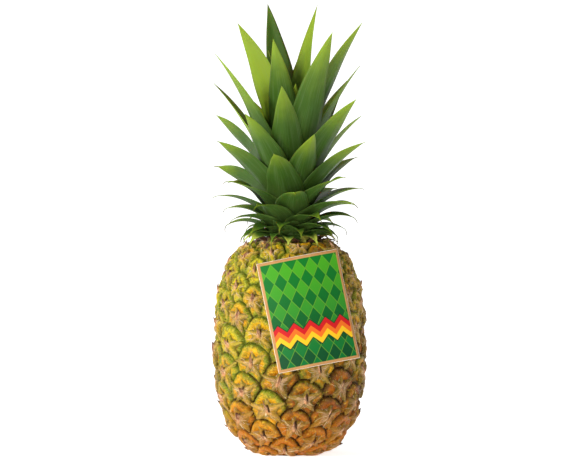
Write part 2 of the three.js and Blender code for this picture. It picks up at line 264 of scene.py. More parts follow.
def between(start, end, share):
    return start[0] + (end[0] - start[0]) * share, start[1] + (end[1] - start[1]) * share


def near_side(polygon, here, other):
    """What is left of a polygon on the near side of the line halfway between two points."""
    nx, ny = other[0] - here[0], other[1] - here[1]
    limit = (other[0] ** 2 + other[1] ** 2 - here[0] ** 2 - here[1] ** 2) / 2
    kept = []
    for point, after in zip(polygon, polygon[1:] + polygon[:1]):
        a = point[0] * nx + point[1] * ny - limit
        b = after[0] * nx + after[1] * ny - limit
        if a <= 0:
            kept.append(point)
        if (a < 0) != (b < 0):
            kept.append(between(point, after, a / (a - b)))
    return kept


def tile_of(middle, middles):
    left, right = middle[0] - WIDEST_TILE, middle[0] + WIDEST_TILE
    tile = [(left, LOWEST), (right, LOWEST), (right, HIGHEST), (left, HIGHEST)]
    for other in middles:
        for lap in (-TURN, 0, TURN):
            if other is not middle or lap:
                tile = near_side(tile, middle, (other[0] + lap, other[1]))
    return tile


# %% [markdown]
# ## One eye
#
# Seen close, an eye is a low dome with a rounded upper edge, sunk at its middle. Over its lower half lies a
# stiff bract. The tiles' edges are bent upwards, which makes the top of each dome round and the foot of the
# eye above it hollow.

# %% The border and the relief of an eye
TINY = 1e-6
BORDER_SPACING = 1.5  # between points along a tile's border
ARCH = 0.17  # how far an edge bends up, as a share of its width
GROOVE_DEPTH = 3.2
USUAL_EYE = 24  # width of an eye with full relief
# Lift of the skin, from an eye's middle (0) to its border (1): above the middle, and below it under the bract
DOME = (
    (0, 0.1, 0.25, 0.42, 0.6, 0.74, 0.85, 0.93, 1),
    (-2.4, -2.2, -1.5, -0.6, 0.7, 1.3, 0.9, -0.8, -3.2),
)
UNDER = ((0, 0.1, 0.3, 0.6, 0.85, 0.93, 1), (-2.4, -1.8, -1, -0.8, -1, -1.8, -3.2))
EYE_STRAY = {"raised": 0.35, "tipped": 0.05, "strength": (0.85, 1.12)}
TIP_LEANS = 0.7  # how far the dry tip of a bract leans over, from one side to the other


def at_an_end(up):
    return up < LOWEST + TINY or up > HIGHEST - TINY


def grid(shape, *values):
    """The values side by side, at every point of a grid."""
    columns = [np.broadcast_to(value, shape) for value in values]
    return np.stack(columns, axis=-1).reshape(-1, len(values))


class Eye:
    """One eye: its middle on the unrolled fruit, and its border, seen from that middle in millimetres."""

    def __init__(self, number, middle, tile):
        self.turn, self.up = middle
        self.radius = float(np.interp(self.up, outline.up, outline.r))
        self.level = float(np.interp(self.up, outline.up, outline.z)) / NECK_Z
        self.draw = Draws(number * 7919 + 17)
        self.seed = self.draw.between(0, 1)
        self.border, self.at_end = self.trace(tile)
        self.local = (self.border - middle) * self.radius
        angle = np.arctan2(self.local[:, 1], self.local[:, 0])
        distance = np.hypot(self.local[:, 0], self.local[:, 1])
        below = np.clip(0.5 - np.sin(angle) * 1.5, 0, 1)
        self.below = below**2 * (3 - 2 * below)
        order = np.argsort(angle)
        self.known = angle[order], distance[order], self.below[order]
        self.size = float(distance.mean()) * 2
        self.fullness = min(1, self.size / USUAL_EYE)
        self.strength = self.fullness * self.draw.between(*EYE_STRAY["strength"])
        self.raised = EYE_STRAY["raised"] * self.draw()
        self.tipped = [EYE_STRAY["tipped"] * self.draw() for _ in range(2)]
        self.lean = TIP_LEANS * (self.seed - 0.5)

    def trace(self, tile):
        """Points along the tile's bent border, and whether each is on an end of the fruit."""
        points, ends = [], []
        for start, end in zip(tile, tile[1:] + tile[:1]):
            length = math.dist(start, end) * np.interp((start[1] + end[1]) / 2, outline.up, outline.r)
            count = max(1, round(length / BORDER_SPACING))
            on_end = abs(start[1] - end[1]) < TINY and at_an_end(start[1])
            arch = 0 if on_end else ARCH * abs(end[0] - start[0])
            for share in np.arange(count) / count:
                turn, up = between(start, end, share)
                up += arch * 4 * share * (1 - share)
                points.append((turn, up))
                ends.append(at_an_end(up))
        return np.array(points), np.array(ends, dtype=float)

    def seat(self, x, y):
        """How much this eye as a whole stands higher or lower there than the rule."""
        return self.raised + self.tipped[0] * x + self.tipped[1] * y

    def relief(self, t, below, at_end=0.0):
        """Lift of the skin at a share of the way out to the border."""
        lift = (np.interp(t, *DOME) * (1 - below) + np.interp(t, *UNDER) * below) * self.strength
        edge = np.clip((t - 0.9) / 0.1, 0, 1) ** 2
        return (lift * (1 - edge) - GROOVE_DEPTH * edge) * (1 - at_end * t**4)

    def at(self, x, y, lift):
        """Points at millimetres right of and above the eye's middle, at a lift off the plain outline."""
        up = np.clip(self.up + y / self.radius, LOWEST, HIGHEST)
        return on_fruit(self.turn + x / self.radius, up, lift)

    def skin(self, x, y):
        """Lift of the skin at a place seen from the eye's middle."""
        angle = np.arctan2(y, x)
        t = np.clip(np.hypot(x, y) / self.reach(angle), 0, 0.97)
        below = np.interp(angle, self.known[0], self.known[2], period=TURN)
        return self.relief(t, below) + self.seat(x, y) * (1 - t**6)

    def reach(self, angle):
        """How far out the border is."""
        return np.interp(angle, self.known[0], self.known[1], period=TURN)

    def numbers(self, first, third=0.0):
        """What materials read at each point: its own two numbers, the eye's seed and the eye's height."""
        return grid(np.broadcast(first, third).shape, first, self.seed, third, self.level)


def grow_eyes():
    middles = eye_middles()
    return [Eye(number, middle, tile_of(middle, middles)) for number, middle in enumerate(middles)]


eyes = grow_eyes()
sizes = [round(eye.size) for eye in eyes]
print(len(eyes), "eyes,", min(sizes), "to", max(sizes), "mm wide")

# %% [markdown]
# ## From points to a mesh
#
# Every piece is built the same way: points in millimetres, faces, and some numbers for each point that its
# material reads later. One function makes them all. It can also join points that fall on each other, so
# that the tiles of the skin become one closed surface.

# %% Mesh maker
WELD = 0.004


def make_piece(name, points, faces, numbers, places, weld=False):
    """A smooth mesh. numbers holds four values a point, and places two, which its material can read."""
    mesh = bpy.data.meshes.new(name)
    points = np.maximum(points, (-math.inf, -math.inf, 0))  # nothing reaches under the floor
    mesh.from_pydata((points * MM).tolist(), [], faces)
    corners = np.empty(len(mesh.loops), dtype=np.int32)
    mesh.loops.foreach_get("vertex_index", corners)
    layer = mesh.attributes.new("numbers", "FLOAT_COLOR", "CORNER")
    layer.data.foreach_set("color", np.asarray(numbers, dtype=np.float32)[corners].ravel())
    layer = mesh.uv_layers.new(name="places")
    layer.data.foreach_set("uv", np.asarray(places, dtype=np.float32)[corners].ravel())
    if weld:
        built = bmesh.new()
        built.from_mesh(mesh)
        bmesh.ops.remove_doubles(built, verts=built.verts, dist=WELD * MM)
        bmesh.ops.dissolve_degenerate(built, edges=built.edges, dist=WELD * MM)
        built.to_mesh(mesh)
        built.free()
    mesh.shade_smooth()
    piece = bpy.data.objects.new(name, mesh)
    bpy.context.collection.objects.link(piece)
    print(name, "has", sum(len(p.vertices) - 2 for p in mesh.polygons), "triangles")
    return piece


class Batch:
    """Collects the points, faces and numbers of many small parts that become one piece."""

    def __init__(self):
        self.points, self.faces, self.numbers, self.places = [], [], [], []
        self.count = 0

    def add(self, points, faces, numbers, places=(0, 0)):
        points = np.asarray(points).reshape(-1, 3)
        self.points.append(points)
        self.faces += [tuple(i + self.count for i in face) for face in faces]
        self.numbers.append(np.broadcast_to(numbers, (len(points), 4)))
        self.places.append(np.broadcast_to(places, (len(points), 2)))
        self.count += len(points)

    def piece(self, name, weld=False):
        points, numbers, places = map(np.concatenate, (self.points, self.numbers, self.places))
        return make_piece(name, points, self.faces, numbers, places, weld)


def ring_faces(rows, around, first=0):
    """Quads between closed rings of points that follow each other."""
    faces = []
    for row in range(first, first + (rows - 1) * around, around):
        for i in range(around):
            after = (i + 1) % around
            faces.append((row + i, row + after, row + around + after, row + around + i))
    return faces


def fan_faces(first, around, middle):
    """Triangles from a ring to one point."""
    return [(first + i, first + (i + 1) % around, middle) for i in range(around)]


def capped_faces(rows, around):
    """Quads between rings, and a face over each end."""
    last = (rows - 1) * around
    ends = [tuple(range(around))[::-1], tuple(range(last, last + around))]
    return ring_faces(rows, around) + ends


def flipped(faces):
    return [face[::-1] for face in faces]


# %% [markdown]
# ## The skin
#
# Each tile is filled with rings, from its border in to its middle. They are closer together near the
# groove, where the relief is steep. A little slow noise keeps the domes from looking cast in a mould. The
# base is cut flat, with the round scar of the stalk in it.

# %% Skin of the fruit
RINGS = (1, 0.965, 0.92, 0.86, 0.78, 0.69, 0.59, 0.49, 0.39, 0.3, 0.22, 0.15, 0.08)
LUMPS = ((0.16, 0.55), (0.36, 0.5), (0.7, 0.25))  # how often per millimetre, and how high
# Radius and height of each ring that closes the skin inwards. The base has a groove round the stalk's scar.
BASE_RINGS = ((20, 0), (17, 0), (16, 1.6), (12, 1.6), (11, 0), (6, 0), (3, 0))
NECK_RINGS = ((25, NECK_Z - 0.6), (22, NECK_Z - 1.5), (12, NECK_Z - 1.5))


def lumps(points, softness):
    lift = np.zeros(len(points))
    for often, high in LUMPS:
        lift += [noise.noise(Vector(point) * often) * high for point in points]
    return lift * softness


def add_eye_skin(batch, eye):
    t = np.array(RINGS)[:, None]
    turn = eye.turn + (eye.border[:, 0] - eye.turn) * t
    up = eye.up + (eye.border[:, 1] - eye.up) * t
    seat = eye.seat(eye.local[:, 0] * t, eye.local[:, 1] * t) * (1 - t**6) * (1 - eye.at_end)
    lift = eye.relief(t, eye.below, eye.at_end) + seat
    softness = np.clip((1 - t) * 8, 0, 1) * np.ones_like(lift)
    rough = lumps(on_fruit(turn, up, lift).reshape(-1, 3), softness.ravel())
    points = on_fruit(turn, up, lift + rough.reshape(lift.shape)).reshape(-1, 3)
    middle = on_fruit(eye.turn, eye.up, eye.relief(0, 0.5) + eye.seat(0, 0))
    around = len(eye.border)
    last = (len(RINGS) - 1) * around
    faces = ring_faces(len(RINGS), around) + fan_faces(last, around, last + around)
    numbers = np.concatenate([eye.numbers(t + np.zeros(around)), eye.numbers(0.0)])
    places = np.concatenate([(eye.local[None] * t[..., None]).reshape(-1, 2), [[0, 0]]])
    batch.add(np.concatenate([points, middle[None]]), faces, numbers, places)


def rings_about_axis(turns, profile):
    """Rings of points at the given turns, one for each (radius, height)."""
    return [np.stack([r * np.sin(turns), -r * np.cos(turns), np.full_like(turns, z)], -1) for r, z in profile]


def add_end(batch, up, profile, outward):
    """Closes the skin from its open edge inwards."""
    turns = [eye.border[i, 0] for eye in eyes for i in np.flatnonzero(abs(eye.border[:, 1] - up) < TINY)]
    turns = np.array([turn - TURN * round(turn / TURN) for turn in turns])
    turns = np.unique(np.round(turns, 7))
    if not outward:
        turns = turns[::-1]
    rows = [on_fruit(turns, np.full_like(turns, up), 0), *rings_about_axis(turns, profile)]
    around = len(turns)
    last = (len(rows) - 1) * around
    faces = ring_faces(len(rows), around) + fan_faces(last, around, last + around)
    batch.add(np.concatenate([*rows, [[0, 0, profile[-1][1]]]]), faces, (1, 0.5, 0, 0))


def grow_skin():
    batch = Batch()
    for eye in eyes:
        add_eye_skin(batch, eye)
    add_end(batch, LOWEST, BASE_RINGS, outward=False)
    add_end(batch, HIGHEST, NECK_RINGS, outward=True)
    return batch.piece("fruit_skin", weld=True)


skin = grow_skin()

# %% [markdown]
# ## Star bracts
#
# The bract over the lower half of an eye is a thick leathery star: one arm dries up over the eye's middle,
# two reach sideways and two run down, a little past the tile, into the valleys between the domes below.
# This could be pressed into the skin, but a real bract has an edge, with shade under it. So each star is a
# closed shell of its own, laid over the skin, with a ridge along each arm and a ragged rim that is cut in
# between the arms.

# %% Star bracts
STAR_SPOKES = 48
STAR_RINGS = (0.05, 0.1, 0.16, 0.24, 0.36, 0.5, 0.66, 0.8, 0.91, 1)
STAR_LIFT = ((0, 0.12, 0.35, 0.65, 0.88, 1), (-0.6, 0.5, 0.9, 0.8, 0.5, 0.1))  # from its middle to its rim
STAR_RIM = {"down": 1.6, "in": 0.97}  # how far the rim turns down into the skin, and in
STAR_LUMPS = 0.8
ARMS = ((90, 0.62), (20, 1.06), (-52, 1.12), (-128, 1.12), (160, 1.06))  # degrees, and share of the way out
STAR_STRAY = {"degrees": 14, "length": 0.17, "slit": (0.6, 1.4), "stout": (0.75, 1.3), "rim": (0.93, 1.07)}
RIDGE = {"high": 1.9, "wide": 2.9, "at_middle": 1.15, "narrower": 0.7, "lower": 0.45}
HOLLOWNESS = 0.4  # how far the rim cuts in between two arms
# The slit at the eye's middle. tall and above are shares of the eye's width.
SLIT = {"wide": 0.8, "tall": 0.13, "deep": 2.4, "above": 0.07, "aside": 1.3}


def star_arms(eye):
    """Angle and length of each arm, in turning order."""
    arms = []
    for degrees, share in ARMS:
        angle = math.radians(degrees + STAR_STRAY["degrees"] * eye.draw())
        arms.append((angle, eye.reach(angle) * share * (1 + STAR_STRAY["length"] * eye.draw())))
    return sorted(arms, reverse=True)


class Star:
    """The outline and height of one eye's bract."""

    def __init__(self, eye):
        self.eye = eye
        self.arms = star_arms(eye)
        self.slit = eye.draw.between(*STAR_STRAY["slit"])
        self.stout = eye.draw.between(*STAR_STRAY["stout"])
        self.angles = np.linspace(-math.pi, math.pi, STAR_SPOKES, endpoint=False)
        self.rim = np.array([self.rim_at(angle) for angle in self.angles])

    def rim_at(self, angle):
        """How far out the rim is: on the line between the ends of two arms, then cut in and torn a little."""
        first = self.arms[0]
        angle = angle if angle < first[0] else angle - TURN
        for (a, far), (b, near) in zip(self.arms, [*self.arms[1:], (first[0] - TURN, first[1])]):
            if a >= angle >= b:
                gap, share = a - b, (a - angle) / (a - b)
                line = far * near * math.sin(gap)
                line /= far * math.sin(gap * share) + near * math.sin(gap * (1 - share))
                cut = 1 - HOLLOWNESS * math.sin(math.pi * share)
                return line * cut * self.eye.draw.between(*STAR_STRAY["rim"])

    def reach(self, angle):
        return np.interp(angle, self.angles, self.rim, period=TURN)

    def height(self, x, y):
        """Lift of the bract off the plain outline, how near each place is to a ridge, and how far out."""
        angle, distance = np.arctan2(y, x), np.hypot(x, y)
        share = distance / self.reach(angle)
        ridge = np.zeros_like(distance)
        for arm, length in self.arms:
            off = distance * np.abs(np.sin(angle - arm))
            narrowed = RIDGE["at_middle"] - RIDGE["narrower"] * np.clip(distance / length, 0, 1)
            width = RIDGE["wide"] * self.stout * narrowed
            ridge = np.maximum(ridge, np.exp(-((off / width) ** 2)) * (np.cos(angle - arm) > 0))
        lift = np.interp(share, *STAR_LIFT)
        lift += RIDGE["high"] * ridge * (1 - RIDGE["lower"] * np.clip(share, 0, 1) ** 2)
        lift -= SLIT["deep"] * self.slit_at(x, y)
        return lift * self.eye.strength + self.eye.seat(x, y), ridge, share

    def slit_at(self, x, y):
        tall, above = SLIT["tall"] * self.eye.size * self.slit, SLIT["above"] * self.eye.size
        aside = x - SLIT["aside"] - self.eye.lean * (y - above)
        return np.exp(-((aside / SLIT["wide"]) ** 2) - ((y - above) / tall) ** 4)


def add_star(batch, eye):
    star = eye.star
    rings = np.array(STAR_RINGS)[:, None]
    x = rings * star.rim * np.cos(star.angles)
    y = rings * star.rim * np.sin(star.angles)
    lift, ridge, _ = star.height(x, y)
    lift += lumps(eye.at(x, y, lift).reshape(-1, 3), STAR_LUMPS).reshape(lift.shape)
    skirt = eye.at(x[-1] * STAR_RIM["in"], y[-1] * STAR_RIM["in"], lift[-1] - STAR_RIM["down"])
    middle = eye.at(0, 0, star.height(np.zeros(1), np.zeros(1))[0][0])
    under = eye.at(0, 0, -GROOVE_DEPTH)
    points = np.concatenate([middle[None], eye.at(x, y, lift).reshape(-1, 3), skirt, under[None]])
    around = STAR_SPOKES
    last = 1 + len(STAR_RINGS) * around
    faces = flipped(ring_faces(len(STAR_RINGS) + 1, around, first=1)) + fan_faces(1, around, 0)
    faces += flipped(fan_faces(last, around, last + around))
    edge = eye.numbers(np.ones(around + 1))
    numbers = np.concatenate([eye.numbers(0.0, 1.0), eye.numbers(rings, ridge), edge])
    rows = np.stack([x, y], -1)
    places = np.concatenate([[[0, 0]], rows.reshape(-1, 2), rows[-1], [[0, 0]]])
    batch.add(points, faces, numbers, places)


def grow_stars():
    batch = Batch()
    for eye in eyes:
        eye.star = Star(eye)
        add_star(batch, eye)
    return batch.piece("star_bracts")


stars = grow_stars()


def on_eye(eye, x, y, lift):
    """Points seen from an eye's middle, lifted off whatever is uppermost there, the bract or the skin."""
    high, _, share = eye.star.height(x, y)
    top = np.where(share < 1, np.maximum(high, eye.skin(x, y)), eye.skin(x, y))
    return eye.at(x, y, top + lift)


# %% [markdown]
# ## Dry bract tips
#
# The upper point of each bract is dead and papery. It lies over the middle of the eye like a tongue, folded
# along its rib, and its end stands off the skin, so the fruit's outline looks prickly. Each is a thin
# closed shell, tucked into the star at its root.

# %% Bract tips
TIP_ROWS = 11
TIP_COLUMNS = np.array((-1, -0.62, -0.3, 0, 0.3, 0.62, 1))
TIP_WIDTH = ((0, 0.2, 0.45, 0.7, 0.88, 1), (0.8, 1, 0.78, 0.45, 0.22, 0.03))  # share of the widest, along it
TIP_HALF_WIDTH = 0.068  # of the eye's width
TIP_ROOT = 0.36  # of the way down to the border
TIP_STRAY = {"end": (0.2, 0.62), "half": (0.75, 1.2), "ragged": 0.16, "stand": (0.6, 3.4)}
TIP_SHAPE = {"fold": 0.75, "tuck": 0.55, "root": 0.5, "off": 0.12, "thick": 0.32, "thinner": 0.16}


def tip_lift(along, across, stand):
    """How far the tongue is off the eye: its end stands up, its rib is folded and its root is tucked in."""
    fold = TIP_SHAPE["fold"] * np.sin(math.pi * np.clip(along * 1.05, 0, 1)) ** 0.6
    tuck = TIP_SHAPE["tuck"] * across**2 * (1 - along) ** 0.7
    lift = TIP_SHAPE["off"] + stand * along**3 + fold * (1 - across) - tuck
    return lift - TIP_SHAPE["root"] * (1 - along) ** 6


def add_bract_tip(batch, eye):
    draw = eye.draw
    columns = len(TIP_COLUMNS)
    along = np.linspace(0, 1, TIP_ROWS)[:, None]
    across = np.abs(TIP_COLUMNS)
    low = -TIP_ROOT * eye.reach(-TURN / 4)
    high = eye.reach(TURN / 4) * draw.between(*TIP_STRAY["end"])
    half = TIP_HALF_WIDTH * eye.size * draw.between(*TIP_STRAY["half"])
    ragged = np.array([1 + TIP_STRAY["ragged"] * draw() for _ in range(TIP_ROWS * columns)])
    y = low + (high - low) * along + 0 * across
    x = TIP_COLUMNS * half * np.interp(along, *TIP_WIDTH) * ragged.reshape(TIP_ROWS, columns) + eye.lean * y
    lift = tip_lift(along, across, draw.between(*TIP_STRAY["stand"]) * eye.fullness)
    above = on_eye(eye, x, y, lift)
    under = on_eye(eye, x, y, lift - (TIP_SHAPE["thick"] - TIP_SHAPE["thinner"] * along))
    sideways = np.concatenate([TIP_COLUMNS, TIP_COLUMNS[::-1]])
    places = grid((TIP_ROWS, 2 * columns), sideways * half, np.arange(TIP_ROWS)[:, None])
    points = np.concatenate([above, under[:, ::-1]], axis=1)
    batch.add(points, capped_faces(TIP_ROWS, 2 * columns), eye.numbers(along, np.abs(sideways)), places)


def grow_on_eyes(name, add):
    batch = Batch()
    for eye in eyes:
        add(batch, eye)
    return batch.piece(name)


bract_tips = grow_on_eyes("bract_tips", add_bract_tip)

# %% [markdown]
# ## Fibres and withered flowers
#
# Pale fibres fray from every bract, and in the hollow above it sit the brown remains of the flower. They
# are only a few millimetres long, but they are what catches the light along the edge of the fruit. Hair
# would be lost in the export, so each one is a thin tapering tube of three sides.

# %% Fibres and flower remains
FIBRE_SIDES = 3
ANY_SIDE = (0.31, 0.27, 0.91)  # a direction that no fibre runs along
FIBRES = {
    "count": (14, 22),
    "angle": (-2.2, 2.2),
    "start": (0.1, 0.45),
    "length": (2.2, 7),
    "long_from": 0.8,  # a fibre whose draw is above this is twice as long as the rest
    "swerve": (-0.5, 0.5),
    "lift": (0.1, 1.1),
    "radius": (0.13, 0.3),
}
RIM_FIBRES = {
    "count": (20, 30),
    "start": (0.82, 0.98),
    "length": (0.8, 3.2),
    "aside": (-0.9, 0.9),
    "lift": (0, 1.2),
    "radius": (0.14, 0.34),
    "brown": (0, 0.7),
}
REMAINS = {
    "count": 4,
    "angle": (-1.6, 1.6),
    "length": (1.3, 3.0),
    "aside": (-0.5, 0.5),
    "above": (0.2, 0.9),
    "lift": (0.6, 1.1),
    "radius": (0.3, 0.5),
}


def add_tube(batch, line, radii, number):
    """A tapering tube along a line of points."""
    along = np.gradient(line, axis=0)
    along /= np.linalg.norm(along, axis=1, keepdims=True)
    side = np.cross(along, ANY_SIDE)
    side /= np.linalg.norm(side, axis=1, keepdims=True)
    other = np.cross(along, side)
    rings = []
    for i in range(FIBRE_SIDES):
        angle = TURN * i / FIBRE_SIDES
        rings.append(line + (side * math.cos(angle) + other * math.sin(angle)) * radii[:, None])
    points = np.stack(rings[::-1], axis=1).reshape(-1, 3)
    batch.add(points, capped_faces(len(line), FIBRE_SIDES), number)


def strand(angle, start, direction, length):
    """Places along a strand that starts at an angle and a distance from the eye's middle."""
    x = math.cos(angle) * start + np.cos(direction) * length
    y = math.sin(angle) * start + np.sin(direction) * length
    return x, y


def add_fibres(batch, eye):
    draw = eye.draw
    s = np.array([0, 0.35, 0.7, 1])
    for _ in range(int(draw.between(*FIBRES["count"]))):
        angle = -TURN / 4 + draw.between(*FIBRES["angle"])
        start = eye.reach(angle) * draw.between(*FIBRES["start"])
        length = draw.between(*FIBRES["length"]) * eye.fullness
        longer = 2 if draw() > FIBRES["long_from"] else 1
        direction = angle + draw.between(*FIBRES["swerve"]) * s
        x, y = strand(angle, start, direction, length * longer * s)
        lift = 0.05 + draw.between(*FIBRES["lift"]) * longer * s**1.5 + 0.25 * np.sin(math.pi * s)
        radii = draw.between(*FIBRES["radius"]) * (1 - 0.75 * s)
        add_tube(batch, on_eye(eye, x, y, lift), radii, eye.numbers(draw.between(0, 1)))


def add_rim_fibres(batch, eye):
    """Short bristles that stick out from the torn rim of a star."""
    draw = eye.draw
    s = np.array([0, 0.5, 1])
    for _ in range(int(draw.between(*RIM_FIBRES["count"]))):
        angle = draw.between(-math.pi, math.pi)
        start = float(eye.star.reach(angle)) * draw.between(*RIM_FIBRES["start"])
        length = draw.between(*RIM_FIBRES["length"]) * eye.fullness
        direction = angle + draw.between(*RIM_FIBRES["aside"])
        x, y = strand(angle, start, direction, length * s)
        lift = 0.1 + draw.between(*RIM_FIBRES["lift"]) * s**1.3
        radii = draw.between(*RIM_FIBRES["radius"]) * (1 - 0.85 * s)
        number = eye.numbers(draw.between(0, 1), draw.between(*RIM_FIBRES["brown"]))
        add_tube(batch, on_eye(eye, x, y, lift), radii, number)


def add_remains(batch, eye):
    draw = eye.draw
    s = np.array([0, 0.4, 0.75, 1])
    for _ in range(REMAINS["count"]):
        angle = TURN / 4 + draw.between(*REMAINS["angle"])
        length = draw.between(*REMAINS["length"]) * eye.fullness
        x = draw.between(*REMAINS["aside"]) + math.cos(angle) * length * 0.6 * s
        y = draw.between(*REMAINS["above"]) + math.sin(angle) * length * 0.6 * s
        lift = -0.3 + (length * 0.5 + 0.4) * s * draw.between(*REMAINS["lift"])
        radii = draw.between(*REMAINS["radius"]) * (1 - 0.85 * s**1.5)
        add_tube(batch, on_eye(eye, x, y, lift), radii, eye.numbers(draw.between(0, 1), 1.0))


fibres = grow_on_eyes("bract_fibres", add_fibres)
rim_fibres = grow_on_eyes("rim_fibres", add_rim_fibres)
flower_remains = grow_on_eyes("flower_remains", add_remains)

# %% [markdown]
# ## The fruit's pieces
#
# All six of them stand for the fruit's solid.

# %% Place of the fruit's pieces
for piece in (skin, stars, bract_tips, fibres, rim_fibres, flower_remains):
    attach(piece, "root")
    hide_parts("fruit")

# %% [markdown]
# ## Leaves of the crown
#
# A crown leaf is a stiff trough: thick along its rib, thin at its margins, broad at its foot and drawn out
# to a point. The oldest are short and curl down over the fruit, and the youngest stand nearly straight. The
# rule and its draws are the same as in the solids, so each leaf grows where its solid is. Only its shape is
# finer, with a rounded fold, and on the oldest a thin curled whisker.

# %% Rule of the crown
STEM = {"foot": 21, "tip": 7, "top": 228}
LEAF_COUNT = 72
FRONT_LEAF = 57
FRONT_LEAF_TURN = math.radians(-2)
LEAF_CROWDING = 2.1
LEAF_LENGTH = {"oldest": 26, "gain": 130, "power": 0.9}
LEAF_WIDTH = {"oldest": 15, "full": 33, "full_from": 0.3, "power": 0.7}
FOOT_LEAN = {"youngest": 3, "more": 57, "power": 1.2}
TIP_LEAN = {"youngest": 26, "more": 109, "power": 2}
LEAF_FOOT = {"above": 1, "climb": 52, "inside": 0.65}
YOUNG = {"from": 0.9, "shorter": 0.4, "narrower": 0.3}
STRAY = {"turn": 4, "length": 0.07, "lean": 3, "twist": 30}
ODD_LEAVES = {
    38: (0.88, 0, 0),
    42: (0.9, 0, 35),
    43: (0.93, 0, 0),
    47: (1, 0, 50),
    50: (1, 0, 60),
    58: (0.78, 0, 0),
    60: (1.1, 5, 0),
    62: (1.2, 4, 0),
    63: (0.8, 0, 0),
    64: (1, 3, 0),
    66: (1.12, -2, 0),
    67: (0.98, 6, 0),
    68: (0.95, 0, 60),
    69: (1.09, 0, 0),
    70: (0.68, 0, 0),
}  # index: share of length, degrees further out, degrees of added twist
# Index: how much yellower a leaf is than the rest, or greener below 0
FRESH_LEAVES = {68: 0.5, 69: 0.1, 66: -0.4, 60: 0.15, 55: 0.15, 61: 0.2, 50: -0.25, 42: -0.3}
PALE_TIPPED = 9  # this many of the oldest leaves have pale yellow-green tips, marked by a freshness of 1
WHISKER = {"longest": 0.2, "until": 0.45}  # share of the leaf's length, and the age from which there is none
HOOK = (110, 230)  # how strongly a whisker curls
CROWN_SEED = 11


def leaf_habit(age):
    """How a leaf grows by its age: 0 is the oldest, at the foot, and 1 the youngest."""
    youth = max(0, (age - YOUNG["from"]) / (1 - YOUNG["from"]))
    fullness = min(1, age / LEAF_WIDTH["full_from"]) ** LEAF_WIDTH["power"]
    grown = age ** LEAF_LENGTH["power"]
    width = LEAF_WIDTH["oldest"] + (LEAF_WIDTH["full"] - LEAF_WIDTH["oldest"]) * fullness
    foot_z = NECK_Z + LEAF_FOOT["above"] + LEAF_FOOT["climb"] * grown
    stem_share = min(1, (foot_z - NECK_Z) / (STEM["top"] - NECK_Z))
    stem_radius = STEM["foot"] + (STEM["tip"] - STEM["foot"]) * stem_share
    return {
        "length": (LEAF_LENGTH["oldest"] + LEAF_LENGTH["gain"] * grown) * (1 - YOUNG["shorter"] * youth),
        "width": width * (1 - YOUNG["narrower"] * youth),
        "foot_lean": FOOT_LEAN["youngest"] + FOOT_LEAN["more"] * (1 - age) ** FOOT_LEAN["power"],
        "tip_lean": TIP_LEAN["youngest"] + TIP_LEAN["more"] * (1 - age) ** TIP_LEAN["power"],
        "foot": (stem_radius * LEAF_FOOT["inside"], foot_z),
        "whisker": WHISKER["longest"] * max(0, 1 - age / WHISKER["until"]),
    }


def crown_leaves():
    """The habit of every leaf, with its own turn, twist and age."""
    draw = Draws(CROWN_SEED)
    leaves = []
    for index in range(LEAF_COUNT):
        leaf = leaf_habit(((index + 0.5) / LEAF_COUNT) ** LEAF_CROWDING)
        leaf["fresh"] = 1 if index < PALE_TIPPED else FRESH_LEAVES.get(index, 0)
        turn = FRONT_LEAF_TURN + (index - FRONT_LEAF) * GOLDEN_STEP
        leaf["turn"] = turn + math.radians(STRAY["turn"] * draw())
        longer, outer, turned = ODD_LEAVES.get(index, (1, 0, 0))
        leaf["length"] *= longer * (1 + STRAY["length"] * draw())
        lean = STRAY["lean"] * draw() + outer
        leaf["foot_lean"] += lean
        leaf["tip_lean"] += lean
        leaf["twist"] = math.radians(STRAY["twist"] * draw() + turned)
        leaf["seed"] = (index * 0.618) % 1
        leaf["hook"] = HOOK[0] + (HOOK[1] - HOOK[0]) * leaf["seed"]
        leaves.append(leaf)
    return leaves


# %% [markdown]
# A leaf is built row by row along its curved rib, and each row is lifted clear of the fruit as a whole.

# %% Shape of one leaf
LEAF_ROWS = 30
LEAF_COLUMNS = 9
LEAF_THICKNESS = 1.5
CLEAR_OF_FRUIT = 3.4
WHISKER_HALF_WIDTH = 2
CHANNEL = (0.38, 0.22)  # depth of the trough at foot and tip, as a share of the half width
TAPER = 2.2
FOOT_WIDTH = 0.82  # share of the full width
WAVE = {"share": 0.035, "often": 17, "own": 40}  # of the margins
STRAIGHT_FOLD = 0.85  # the rest of the trough's depth is rounded
THINNER = {"tip": 0.7, "margin": 0.8}  # how much of the thickness is gone there
FINE_STEPS = 241


def leaf_spine(leaf, stations):
    """Where the leaf's rib runs, as (outward, up), and its lean at each station. Past 1 comes its whisker."""
    fine = np.linspace(0, stations[-1], FINE_STEPS)

    def lean_at(s):
        bent = leaf["foot_lean"] + (leaf["tip_lean"] - leaf["foot_lean"]) * s**1.5
        return np.radians(bent + leaf["hook"] * np.maximum(0, s - 1) ** 0.7)

    lean = lean_at((fine[1:] + fine[:-1]) / 2)
    step = leaf["length"] * np.diff(fine)
    out = leaf["foot"][0] + np.concatenate([[0], np.cumsum(np.sin(lean) * step)])
    up = leaf["foot"][1] + np.concatenate([[0], np.cumsum(np.cos(lean) * step)])
    return np.interp(stations, fine, out), np.interp(stations, fine, up), lean_at(stations)


def lift_clear(rows):
    """Lifts each row of points together, so that none of it is too near the fruit's rounded top."""
    radius = np.hypot(rows[..., 0], rows[..., 1])
    top = np.where(radius < FRUIT_RADIUS, height_at(np.maximum(radius, NECK_RADIUS), "upper"), 0)
    needed = top + CLEAR_OF_FRUIT * np.minimum(1, radius / NECK_RADIUS) - rows[..., 2]
    lift = np.maximum(0, needed.max(axis=1))
    lift[0] = 0
    rows[..., 2] += lift[:, None]
    return rows


